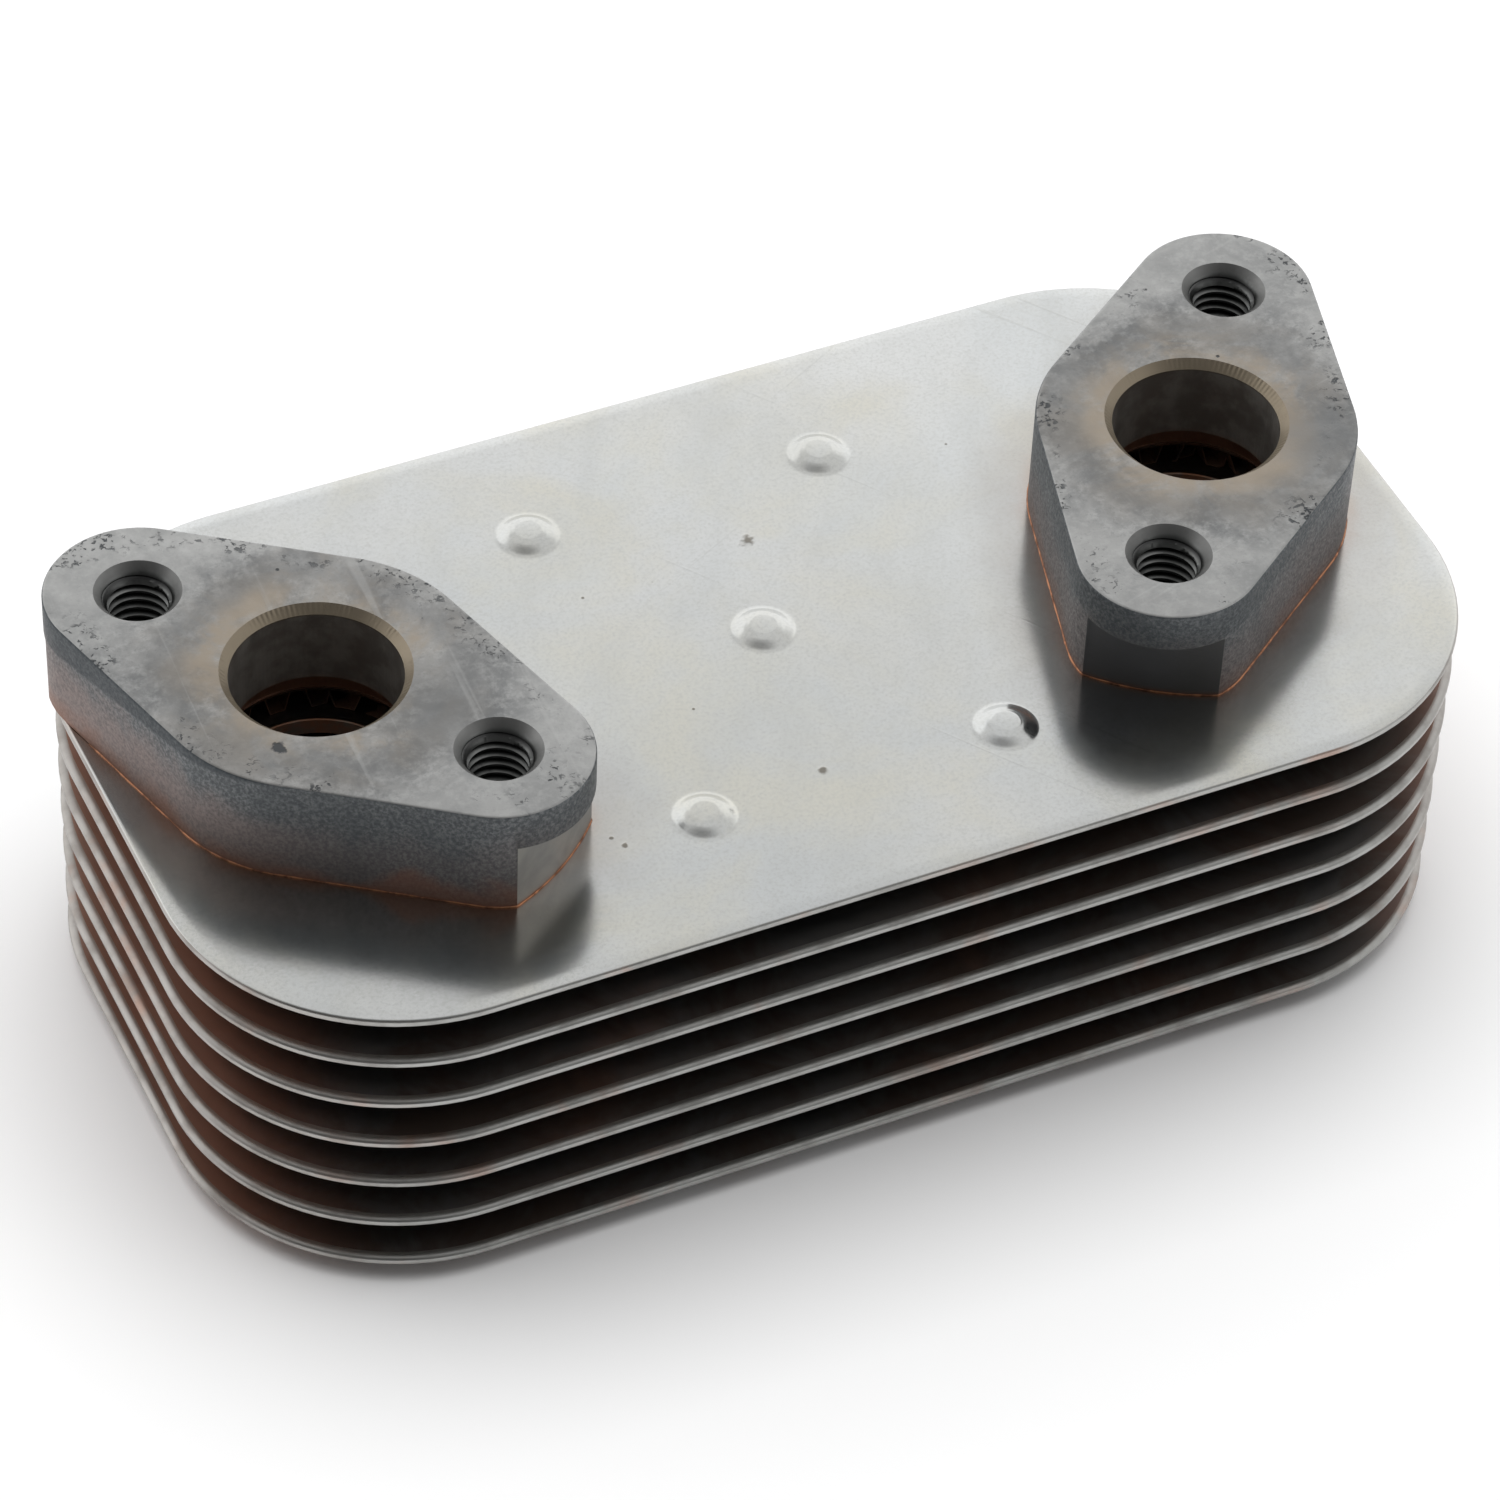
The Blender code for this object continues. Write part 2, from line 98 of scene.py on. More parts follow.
class Bench:
    """The bench where pieces are shaped, one object in edit mode at a time."""

    @staticmethod
    def clear() -> None:
        """Leave edit mode and leave nothing selected."""
        if bpy.context.mode != "OBJECT":
            bpy.ops.object.mode_set(mode="OBJECT")
        bpy.ops.object.select_all(action="DESELECT")

    @staticmethod
    def take(piece: bpy.types.Object) -> None:
        """Make one object the only selected and active one.

        Args:
            piece: The object to work on.
        """
        Bench.clear()
        piece.select_set(True)
        bpy.context.view_layer.objects.active = piece

    @staticmethod
    def edit() -> None:
        """Go into edit mode on the active object."""
        bpy.ops.object.mode_set(mode="EDIT")

    @staticmethod
    def open_new() -> None:
        """Put a new primitive's place into its mesh and go into edit mode on it."""
        bpy.ops.object.transform_apply(location=True, rotation=True, scale=True)
        Bench.edit()

    @staticmethod
    def settle(name: str) -> bpy.types.Object:
        """Leave edit mode, put the active object's place into its mesh and name it.

        Args:
            name: The piece's name.

        Returns:
            The named object, at the origin.
        """
        if bpy.context.mode != "OBJECT":
            bpy.ops.object.mode_set(mode="OBJECT")
        bpy.ops.object.transform_apply(location=True, rotation=True, scale=True)
        piece = bpy.context.active_object
        piece.name = name
        piece.data.name = name
        return piece

    @staticmethod
    def pick(kind: Select, test: Callable[[object], bool]) -> int:
        """Select, in edit mode, just the elements that pass a test.

        Args:
            kind: What is picked.
            test: Says whether one bmesh element is wanted.

        Returns:
            How many elements were picked.
        """
        bpy.ops.mesh.select_mode(type=kind.value)
        bpy.ops.mesh.select_all(action="DESELECT")
        mesh = bpy.context.edit_object.data
        work = bmesh.from_edit_mesh(mesh)
        source = {
            Select.CORNERS: work.verts,
            Select.EDGES: work.edges,
            Select.FACES: work.faces,
        }[kind]
        chosen = [element for element in source if test(element)]
        for element in chosen:
            element.select_set(True)
        work.select_flush_mode()
        bmesh.update_edit_mesh(mesh)
        return len(chosen)

    @staticmethod
    def modify(kind: str, **settings: object) -> None:
        """Add a modifier to the active object, set it up and apply it.

        Args:
            kind: The modifier's type.
            **settings: Its properties by name.
        """
        bpy.ops.object.modifier_add(type=kind)
        modifier = bpy.context.object.modifiers[-1]
        for key, value in settings.items():
            setattr(modifier, key, value)
        bpy.ops.object.modifier_apply(modifier=modifier.name)

    @staticmethod
    def cut(piece: bpy.types.Object, cutter: bpy.types.Object, operation: str = "DIFFERENCE") -> None:
        """Cut a piece with a closed cutter, which is then thrown away.

        Args:
            piece: The object that is cut.
            cutter: The closed cutter.
            operation: The Boolean operation.
        """
        Bench.take(piece)
        Bench.modify("BOOLEAN", object=cutter, operation=operation, solver="EXACT")
        bpy.data.objects.remove(cutter)

    @staticmethod
    def wire(points: Sequence[tuple[float, float, float]], origin: Vector) -> None:
        """Start an object at origin and draw one wire through local points, left in edit mode.

        Args:
            points: The wire's points, measured from the origin.
            origin: Where the object stands.
        """
        Bench.clear()
        bpy.ops.mesh.primitive_plane_add(size=MM, location=origin)
        Bench.edit()
        bpy.ops.mesh.select_mode(type="VERT")
        bpy.ops.mesh.select_all(action="SELECT")
        bpy.ops.mesh.merge(type="CENTER")
        bpy.ops.transform.translate(value=points[0])
        for last, following in zip(points, points[1:]):
            step = tuple(b - a for a, b in zip(last, following))
            bpy.ops.mesh.extrude_vertices_move(TRANSFORM_OT_translate={"value": step})

    @staticmethod
    def weld() -> None:
        """Merge doubled corners and turn every face outwards, in edit mode."""
        bpy.ops.mesh.select_all(action="SELECT")
        bpy.ops.mesh.remove_doubles(threshold=WELD)
        bpy.ops.mesh.normals_make_consistent(inside=False)

    @staticmethod
    def lathe(profile: Sequence[Point2], centre: Point2, steps: int, name: str) -> bpy.types.Object:
        """Turn a profile of (radius, height) points about an upright axis.

        Args:
            profile: The points, in metres. It closes on itself or ends on the axis.
            centre: The axis's place.
            steps: How many sides the turned shape has.
            name: The piece's name.

        Returns:
            The closed turned piece.
        """
        Bench.wire([(radius, 0.0, height) for radius, height in profile], Vector((*centre, 0.0)))
        bpy.ops.mesh.select_all(action="SELECT")
        bpy.ops.mesh.spin(steps=steps, angle=TURN, center=(*centre, 0.0), axis=(0, 0, 1))
        Bench.weld()
        return Bench.settle(name)

    @staticmethod
    def copy(piece: bpy.types.Object, name: str, move: Vector) -> bpy.types.Object:
        """Copy a piece with its own mesh and move the copy.

        Args:
            piece: The piece to copy.
            name: The copy's name.
            move: How far it is moved.

        Returns:
            The copy, at the origin.
        """
        Bench.take(piece)
        bpy.ops.object.duplicate(linked=False)
        bpy.ops.transform.translate(value=move)
        return Bench.settle(name)

    @staticmethod
    def smooth(piece: bpy.types.Object, degrees: float) -> None:
        """Shade a piece smooth, with edges sharper than an angle left crisp.

        Args:
            piece: The piece to shade.
            degrees: The angle.
        """
        Bench.take(piece)
        bpy.ops.object.shade_smooth_by_angle(angle=math.radians(degrees))

    @staticmethod
    def dress(
        piece: bpy.types.Object,
        materials: Sequence[bpy.types.Material],
        rule: Callable[[bpy.types.MeshPolygon], int] | None = None,
    ) -> None:
        """Give a piece its materials, face by face.

        Args:
            piece: The piece to dress.
            materials: The materials, in slot order.
            rule: Gives a face's slot number; left out, every face takes the first.
        """
        piece.data.materials.clear()
        for material in materials:
            piece.data.materials.append(material)
        for polygon in piece.data.polygons:
            polygon.material_index = rule(polygon) if rule else 0


def hand_over(piece: bpy.types.Object, node: str) -> None:
    """Let a finished piece stand for its CAD node and ride on the body.

    Args:
        piece: The finished piece.
        node: The CAD node's name.
    """
    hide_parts(node)
    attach(piece, "root")
    LOG.info("%s stands for %s: %d faces", piece.name, node, len(piece.data.polygons))


# ------------------------------------------------------------------ places from the frame


@dataclass(frozen=True)
class FlangePlace:
    """Where one port flange stands and how it is turned."""

    side: str
    centre: Point2
    angle: float
    foot: float
    top: float
    ear_radius: float
    bolt_spacing: float = 47.0 * MM
    hub_radius: float = 18.6 * MM
    turned_radius: float = 31.7 * MM

    def bolts(self) -> list[Point2]:
        """Return the two tapped holes' places."""
        reach = self.bolt_spacing / 2
        along = (math.cos(self.angle) * reach, math.sin(self.angle) * reach)
        return [
            (self.centre[0] + way * along[0], self.centre[1] + way * along[1]) for way in (-1, 1)
        ]


@dataclass(frozen=True)
class Stack:
    """The plate stack's places and sizes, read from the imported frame."""

    length: float
    width: float
    faces: tuple[float, ...]
    element_height: float
    ports: dict[str, Point2]
    sheet: float = 0.6 * MM
    corner: float = 27.4 * MM
    dimple_reach: Point2 = (18.5 * MM, 24.8 * MM)

    @classmethod
    def measure(cls, elements: int) -> Stack:
        """Read the stack from the frame's nodes.

        Args:
            elements: How many plate elements there are.

        Returns:
            The measured stack.
        """
        low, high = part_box("upper_shell_1")
        faces = tuple(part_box(f"upper_shell_{k}")[0].z + cls.sheet for k in range(1, elements + 1))
        ports = {}
        for side in ("left", "right"):
            ring_low, ring_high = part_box(f"spacer_ring_{side}_1")
            middle = (ring_low + ring_high) / 2
            ports[side] = (middle.x, middle.y)
        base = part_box(f"lower_shell_{elements}")[0].z
        return cls(high.x - low.x, high.y - low.y, faces, faces[-1] - base, ports)

    def dimples(self) -> list[Point2]:
        """Return the five dimples' places."""
        x, y = self.dimple_reach
        return [(0.0, 0.0), (-x, -y), (x, -y), (x, y), (-x, y)]

    def drop_to(self, element: int) -> Vector:
        """Return the move from the top element, number 1, down to another one."""
        return Vector((0, 0, self.faces[element - 1] - self.faces[0]))

    def inset_of(self, x: float, y: float) -> float:
        """Measure how far inside the plate's outline a place is.

        Args:
            x: The place's x.
            y: The place's y.

        Returns:
            The distance to the outline; negative is outside.
        """
        past_x = max(0.0, abs(x) - (self.length / 2 - self.corner))
        past_y = max(0.0, abs(y) - (self.width / 2 - self.corner))
        if past_x > 0 and past_y > 0:
            return self.corner - math.hypot(past_x, past_y)
        return min(self.length / 2 - abs(x), self.width / 2 - abs(y))


# ------------------------------------------------------------------ shader graphs

Feed = float | bpy.types.NodeSocket


class Graph:
    """One material's shader graph, laid out node by node on object coordinates."""

    def __init__(self, name: str, metallic: float) -> None:
        """Start a material with its Principled shader.

        Args:
            name: The material's name.
            metallic: How metallic it is all over.
        """
        self.material = bpy.data.materials.new(name)
        self.material.use_nodes = True
        self.tree = self.material.node_tree
        self.shader = self.tree.nodes["Principled BSDF"]
        self.shader.inputs["Metallic"].default_value = metallic
        self.place = self.node("ShaderNodeTexCoord").outputs["Object"]

    def node(self, kind: str, **settings: object) -> bpy.types.Node:
        """Add a node and set its properties.

        Args:
            kind: The node's type.
            **settings: Its properties by name.

        Returns:
            The node.
        """
        made = self.tree.nodes.new(kind)
        for key, value in settings.items():
            setattr(made, key, value)
        return made

    def feed(self, socket: bpy.types.NodeSocket, value: object) -> None:
        """Link a socket, or set its value when it is a plain one.

        Args:
            socket: The input socket.
            value: Another socket, a number or a colour.
        """
        if isinstance(value, bpy.types.NodeSocket):
            self.tree.links.new(value, socket)
        elif isinstance(value, tuple) and len(value) == 3 and len(socket.default_value) == 4:
            socket.default_value = (*value, 1.0)
        else:
            socket.default_value = value

    def math(self, operation: str, first: Feed, second: Feed = 0.0, clamp: bool = False) -> Feed:
        """Add a Math node.

        Args:
            operation: The operation.
            first: The first number.
            second: The second number.
            clamp: Whether the result stays between 0 and 1.

        Returns:
            The result's socket.
        """
        made = self.node("ShaderNodeMath", operation=operation, use_clamp=clamp)
        self.feed(made.inputs[0], first)
        self.feed(made.inputs[1], second)
        return made.outputs[0]

    def blend(self, share: Feed, first: object, second: object) -> bpy.types.NodeSocket:
        """Mix two colours.

        Args:
            share: How much of the second.
            first: The colour at 0.
            second: The colour at 1.

        Returns:
            The mixed colour's socket.
        """
        made = self.node("ShaderNodeMix", data_type="RGBA")
        self.feed(made.inputs[0], share)
        self.feed(made.inputs[6], first)
        self.feed(made.inputs[7], second)
        return made.outputs[2]

    def choose(self, share: Feed, first: Feed, second: Feed) -> Feed:
        """Mix two numbers.

        Args:
            share: How much of the second.
            first: The number at 0.
            second: The number at 1.

        Returns:
            The mixed number's socket.
        """
        made = self.node("ShaderNodeMix", data_type="FLOAT")
        self.feed(made.inputs[0], share)
        self.feed(made.inputs[2], first)
        self.feed(made.inputs[3], second)
        return made.outputs[0]

    def step(self, value: Feed, low: float, high: float, start: float = 0.0, end: float = 1.0) -> Feed:
        """Ease a value from start at low to end at high.

        Args:
            value: The value.
            low: Where the change begins.
            high: Where it ends.
            start: The result below low.
            end: The result above high.

        Returns:
            The eased number's socket.
        """
        made = self.node("ShaderNodeMapRange", interpolation_type="SMOOTHSTEP")
        for index, number in enumerate((value, low, high, start, end)):
            self.feed(made.inputs[index], number)
        return made.outputs[0]

    def stretched(self, stretch: Colour, turn: float = 0.0) -> bpy.types.NodeSocket:
        """Return the object coordinates turned about Z and stretched.

        Args:
            stretch: The scale along each axis; small numbers make long grain.
            turn: The turn, in radians.

        Returns:
            The coordinates' socket.
        """
        made = self.node("ShaderNodeMapping", vector_type="TEXTURE")
        self.feed(made.inputs["Vector"], self.place)
        made.inputs["Rotation"].default_value = (0.0, 0.0, turn)
        made.inputs["Scale"].default_value = tuple(1 / share for share in stretch)
        return made.outputs[0]

    def noise(
        self,
        scale: float,
        detail: float = 3.0,
        rough: float = 0.55,
        warp: float = 0.0,
        stretch: Colour | None = None,
        turn: float = 0.0,
    ) -> bpy.types.NodeSocket:
        """Add a noise pattern.

        Args:
            scale: Features per metre.
            detail: How many finer layers it has.
            rough: How strong they are.
            warp: How much it is distorted.
            stretch: The scale along each axis.
            turn: The grain's turn about Z.

        Returns:
            The noise factor's socket, near 0.5 on average.
        """
        made = self.node("ShaderNodeTexNoise")
        self.feed(made.inputs["Vector"], self.stretched(stretch, turn) if stretch else self.place)
        made.inputs["Scale"].default_value = scale
        made.inputs["Detail"].default_value = detail
        made.inputs["Roughness"].default_value = rough
        made.inputs["Distortion"].default_value = warp
        return made.outputs["Fac"]

    def pits(self, scale: float, radius: float, soft: float, rarity: float) -> Feed:
        """Scatter small round marks.

        Args:
            scale: Cells per metre.
            radius: A mark's radius as a share of a cell.
            soft: Its soft border as a share of a cell.
            rarity: From 0, one in each cell, to 1, none.

        Returns:
            1 in a mark and 0 outside.
        """
        made = self.node("ShaderNodeTexVoronoi", feature="F1")
        self.feed(made.inputs["Vector"], self.place)
        made.inputs["Scale"].default_value = scale
        inside = self.step(made.outputs["Distance"], radius, radius + soft, 1.0, 0.0)
        split = self.node("ShaderNodeSeparateColor")
        self.feed(split.inputs[0], made.outputs["Color"])
        return self.math("MULTIPLY", inside, self.math("GREATER_THAN", split.outputs[0], rarity))

    def axes(self, vector: bpy.types.NodeSocket) -> tuple[Feed, Feed, Feed]:
        """Split coordinates.

        Args:
            vector: The coordinates' socket.

        Returns:
            The x, y and z sockets.
        """
        made = self.node("ShaderNodeSeparateXYZ")
        self.feed(made.inputs[0], vector)
        return made.outputs[0], made.outputs[1], made.outputs[2]

    def about(self, centre: Point2, turn: float = 0.0) -> tuple[Feed, Feed, Feed]:
        """Return x, y and z measured from a centre and turned back by an angle.

        Args:
            centre: The centre.
            turn: The angle of the new x axis.

        Returns:
            The three sockets.
        """
        made = self.node("ShaderNodeMapping", vector_type="TEXTURE")
        self.feed(made.inputs["Vector"], self.place)
        made.inputs["Location"].default_value = (*centre, 0.0)
        made.inputs["Rotation"].default_value = (0.0, 0.0, turn)
        return self.axes(made.outputs[0])

    def length(self, first: Feed, second: Feed) -> Feed:
        """Return the length of a flat vector from its two sides."""
        squares = [self.math("MULTIPLY", side, side) for side in (first, second)]
        return self.math("SQRT", self.math("ADD", *squares))

    def reach(self, centre: Point2) -> Feed:
        """Return the flat distance from an upright axis."""
        x, y, _ = self.about(centre)
        return self.length(x, y)

    def spot(self, centre: Point2, radius: float, soft: float, ragged: Feed) -> Feed:
        """Return one ragged round mark's mask.

        Args:
            centre: Its middle.
            radius: Its radius.
            soft: Its soft border.
            ragged: A noise that pushes its border in and out.

        Returns:
            1 inside and 0 outside.
        """
        push = self.math("MULTIPLY", self.math("SUBTRACT", ragged, 0.5), radius * 2.4)
        distance = self.math("ADD", self.reach(centre), push)
        return self.step(distance, radius - soft, radius + soft, 1.0, 0.0)

    def foot_distance(self, place: FlangePlace) -> Feed:
        """Return the flat distance outside a flange's foot outline; negative is under it.

        Args:
            place: The flange's place and outline sizes.

        Returns:
            The distance, in metres.
        """
        along, across, _ = self.about(place.centre, place.angle)
        along = self.math("ABSOLUTE", along)
        across = self.math("ABSOLUTE", across)
        reach = place.bolt_spacing / 2
        lean = (place.hub_radius - place.ear_radius) / reach
        straight = math.sqrt(1 - lean * lean)
        from_hub = self.length(along, across)
        hub = self.math("SUBTRACT", from_hub, place.hub_radius)
        ear_side = self.math("SUBTRACT", along, reach)
        ear = self.math("SUBTRACT", self.length(ear_side, across), place.ear_radius)
        side = self.math(
            "SUBTRACT",
            self.math("ADD", self.math("MULTIPLY", across, straight), self.math("MULTIPLY", along, lean)),
            place.hub_radius,
        )
        share = self.math(
            "SUBTRACT", self.math("MULTIPLY", along, straight), self.math("MULTIPLY", across, lean)
        )
        outline = self.choose(self.math("LESS_THAN", share, 0.0), side, hub)
        outline = self.choose(self.math("GREATER_THAN", share, straight * reach), outline, ear)
        turned = self.math("SUBTRACT", from_hub, place.turned_radius)
        return self.math("MAXIMUM", outline, turned)

    def bump(self, height: Feed, distance: float, strength: float = 1.0, under: object = None) -> object:
        """Add a bump of a height pattern.

        Args:
            height: The pattern.
            distance: How high 1 stands, in metres.
            strength: The bump's strength.
            under: Another bump's normal to lay this one on.

        Returns:
            The normal's socket.
        """
        made = self.node("ShaderNodeBump")
        made.inputs["Strength"].default_value = strength
        made.inputs["Distance"].default_value = distance
        self.feed(made.inputs["Height"], height)
        if under is not None:
            self.feed(made.inputs["Normal"], under)
        return made.outputs[0]

    def finish(self, colour: object, roughness: Feed, normal: object) -> bpy.types.Material:
        """Feed the shader.

        Args:
            colour: The base colour.
            roughness: The roughness.
            normal: The bumped normal.

        Returns:
            The finished material.
        """
        self.feed(self.shader.inputs["Base Color"], colour)
        self.feed(self.shader.inputs["Roughness"], roughness)
        self.feed(self.shader.inputs["Normal"], normal)
        return self.material


# ------------------------------------------------------------------ finishes


@dataclass(frozen=True)
class PlateFinish:
    """Satin rolled steel with a wiped film: silver, with warm and cool clouds and scratches."""

    feet: tuple[FlangePlace, ...]
    marks: tuple[tuple[Point2, float], ...] = (
        ((4.6 * MM, 14.4 * MM), 0.75 * MM),
        ((-3.5 * MM, -23.2 * MM), 0.5 * MM),
        ((-28.4 * MM, -25.5 * MM), 0.35 * MM),
        ((-29.4 * MM, -23.9 * MM), 0.2 * MM),
    )
    silver: Colour = (0.605, 0.612, 0.605)
    warm: Colour = (0.59, 0.575, 0.505)
    cool: Colour = (0.565, 0.582, 0.585)
    dull: Colour = (0.47, 0.475, 0.46)
    copper: Colour = (0.42, 0.26, 0.18)
    film: Colour = (0.40, 0.375, 0.35)
    dark: Colour = (0.16, 0.145, 0.12)

    def make(self) -> bpy.types.Material:
        """Return the material."""
        g = Graph("satin_plate", 1.0)
        clouds = g.noise(26, 4, 0.6, 0.6)
        patches = g.noise(45, 5, 0.6, 0.4)
        colour = g.blend(g.step(clouds, 0.34, 0.66), self.cool, self.silver)
        colour = g.blend(g.step(patches, 0.38, 0.72, 0.0, 0.8), colour, self.warm)
        smears = g.noise(120, 5, 0.65, 0.3, (1.0, 0.35, 1.0), math.radians(-24))
        colour = g.blend(g.step(smears, 0.42, 0.82, 0.0, 0.4), colour, self.dull)
        speckle = g.noise(2400, 4, 0.7)
        colour = g.blend(g.step(speckle, 0.42, 0.70, 0.0, 0.5), colour, self.dull)
        scratch_a = g.step(g.noise(900, 2, 0.5, 0.0, (1.0, 0.02, 1.0), math.radians(35)), 0.68, 0.76)
        scratch_b = g.step(g.noise(800, 2, 0.5, 0.0, (1.0, 0.018, 1.0), math.radians(-62)), 0.70, 0.78)
        scratches = g.math("ADD", scratch_a, scratch_b, clamp=True)
        colour = g.blend(g.math("MULTIPLY", scratches, 0.4), colour, self.dull)
        ragged = g.noise(900, 3)
        for place in self.feet:
            away = g.foot_distance(place)
            uneven = g.math("MULTIPLY", g.math("SUBTRACT", g.noise(150, 4), 0.5), 5.0 * MM)
            haze = g.step(g.math("ADD", away, uneven), -1.0 * MM, 2.4 * MM, 0.32, 0.0)
            film = g.step(g.math("ADD", away, g.math("MULTIPLY", uneven, 1.6)), 0.0, 10.0 * MM, 0.5, 0.0)
            colour = g.blend(film, colour, self.film)
            colour = g.blend(haze, colour, self.copper)
        specks = g.pits(240, 0.03, 0.03, 0.95)
        for centre, radius in self.marks:
            specks = g.math("MAXIMUM", specks, g.spot(centre, radius, radius * 0.4, ragged))
        colour = g.blend(g.math("MULTIPLY", specks, 0.85), colour, self.dark)
        rough = g.step(patches, 0.3, 0.75, 0.13, 0.19)
        rough = g.math("ADD", rough, g.math("MULTIPLY", smears, 0.05))
        sheet = g.bump(g.noise(17, 2, 0.4), 0.5 * MM, 0.8)
        grain = g.bump(speckle, 0.003 * MM, 0.7, sheet)
        cuts = g.bump(g.math("ADD", scratches, g.math("MULTIPLY", specks, 8.0)), 0.005 * MM, 0.6, grain)
        return g.finish(colour, rough, cuts)


@dataclass(frozen=True)
class RimFinish:
    """Plain steel rims with a faint copper film, warmer towards the stack's two ends."""

    half_length: float
    steel: Colour = (0.41, 0.41, 0.395)
    dull: Colour = (0.32, 0.315, 0.30)
    copper: Colour = (0.42, 0.25, 0.185)

    def make(self) -> bpy.types.Material:
        """Return the material."""
        g = Graph("steel_rim", 1.0)
        x, _, _ = g.axes(g.place)
        ends = g.step(g.math("ABSOLUTE", x), self.half_length * 0.72, self.half_length, 0.0, 0.12)
        film = g.noise(70, 4, 0.6, 0.5)
        share = g.math("ADD", g.step(film, 0.52, 0.75, 0.0, 0.55), ends, clamp=True)
        wear = g.noise(220, 4, 0.6)
        colour = g.blend(g.step(wear, 0.4, 0.7), self.steel, self.dull)
        colour = g.blend(share, colour, self.copper)
        normal = g.bump(g.noise(1500, 3, 0.6), 0.008 * MM, 0.6)
        return g.finish(colour, g.step(wear, 0.3, 0.7, 0.30, 0.45), normal)


@dataclass(frozen=True)
class CopperFilmFinish:
    """Sheet between the elements: steel under a dull brown copper film, with painted reflection making it
    pinker towards the stack's two ends.
    """

    name: str
    half_length: float
    brown: Colour = (0.15, 0.118, 0.102)
    pink: Colour = (0.44, 0.255, 0.19)
    steel: Colour = (0.22, 0.215, 0.21)

    def make(self) -> bpy.types.Material:
        """Return the material."""
        g = Graph(self.name, 1.0)
        x, _, _ = g.axes(g.place)
        # painted reflection: the film is painted pinker and lighter towards the stack's two ends, where
        # it would mirror the bright room
        ends = g.step(g.math("ABSOLUTE", x), self.half_length * 0.78, self.half_length * 0.99, 0.0, 0.65)
        film = g.noise(60, 5, 0.62, 0.6)
        colour = g.blend(g.step(film, 0.38, 0.6), self.steel, self.brown)
        flush = g.noise(38, 4, 0.6, 0.4)
        share = g.math("ADD", g.step(flush, 0.56, 0.76, 0.0, 0.3), ends, clamp=True)
        colour = g.blend(share, colour, self.pink)
        normal = g.bump(g.noise(1500, 4, 0.6), 0.02 * MM, 0.8)
        return g.finish(colour, g.step(film, 0.3, 0.7, 0.38, 0.55), normal)


@dataclass(frozen=True)
class FlangeTopFinish:
    """A machined seal face: mottled grey, tan round the bore, lighter ears, pits at its edges, with
    painted shade in a ring round the bore and in one patch beside it.
    """

    place: FlangePlace
    pit: Point2 | None
    painted_shade_patch: Point2
    grey: Colour = (0.30, 0.30, 0.294)
    light: Colour = (0.41, 0.412, 0.405)
    dark: Colour = (0.165, 0.17, 0.172)
    tan: Colour = (0.305, 0.262, 0.21)
    black: Colour = (0.045, 0.05, 0.055)

    def make(self) -> bpy.types.Material:
        """Return the material."""
        g = Graph(f"{self.place.side}_seal_face", 0.85)
        mottle = g.noise(110, 5, 0.65, 0.6)
        fine = g.noise(620, 5, 0.7)
        colour = g.blend(g.step(mottle, 0.35, 0.68), self.grey, self.dark)
        colour = g.blend(g.step(fine, 0.42, 0.72, 0.0, 0.65), colour, self.light)
        speckle = g.noise(2300, 4, 0.7)
        colour = g.blend(g.step(speckle, 0.50, 0.75, 0.0, 0.55), colour, self.dark)
        reach = g.reach(self.place.centre)
        wander = g.math("MULTIPLY", g.math("SUBTRACT", g.noise(70, 3), 0.5), 9.0 * MM)
        ring = g.math("ADD", reach, wander)
        colour = g.blend(g.step(ring, 18 * MM, 27 * MM, 0.0, 0.5), colour, self.light)
        stain = g.step(g.noise(95, 5, 0.65, 0.8), 0.38, 0.62, 0.15, 0.95)
        halo = g.math("MULTIPLY", stain, g.step(ring, 11 * MM, 21 * MM, 1.0, 0.0))
        colour = g.blend(halo, colour, self.tan)
        shade = g.math(
            "MULTIPLY", g.step(ring, 12 * MM, 15.5 * MM), g.step(ring, 16 * MM, 20 * MM, 0.45, 0.0)
        )
        colour = g.blend(shade, colour, self.dark)
        # painted shade: a soft dark patch beside the bore, at a given place from its centre
        x, y = self.place.centre
        painted_shade_patch = g.spot((x + self.painted_shade_patch[0], y + self.painted_shade_patch[1]), 5.0 * MM, 4.0 * MM, mottle)
        colour = g.blend(g.math("MULTIPLY", painted_shade_patch, 0.6), colour, self.dark)
        edge = g.foot_distance(self.place)
        near_edge = g.step(edge, -4.5 * MM, -0.8 * MM)
        broken = g.step(g.noise(1300, 3, 0.6, 0.5), 0.55, 0.62)
        pits = g.math("MULTIPLY", broken, g.step(g.noise(170, 3), 0.48, 0.60))
        pits = g.math("MULTIPLY", pits, near_edge)
        pits = g.math("MAXIMUM", pits, g.pits(420, 0.06, 0.06, 0.9))
        if self.pit:
            pits = g.math("MAXIMUM", pits, g.spot(self.pit, 0.75 * MM, 0.2 * MM, fine))
        colour = g.blend(g.math("MULTIPLY", pits, 0.9), colour, self.black)
        scratches = g.step(
            g.noise(700, 2, 0.5, 0.0, (1.0, 0.03, 1.0), self.place.angle + 0.9), 0.66, 0.76
        )
        colour = g.blend(g.math("MULTIPLY", scratches, 0.3), colour, self.light)
        rough = g.step(mottle, 0.3, 0.7, 0.36, 0.52)
        grain = g.bump(g.noise(1900, 4, 0.65), 0.02 * MM, 0.8)
        relief = g.math("SUBTRACT", scratches, g.math("MULTIPLY", pits, 9.0))
        return g.finish(colour, rough, g.bump(relief, 0.02 * MM, 0.8, grain))


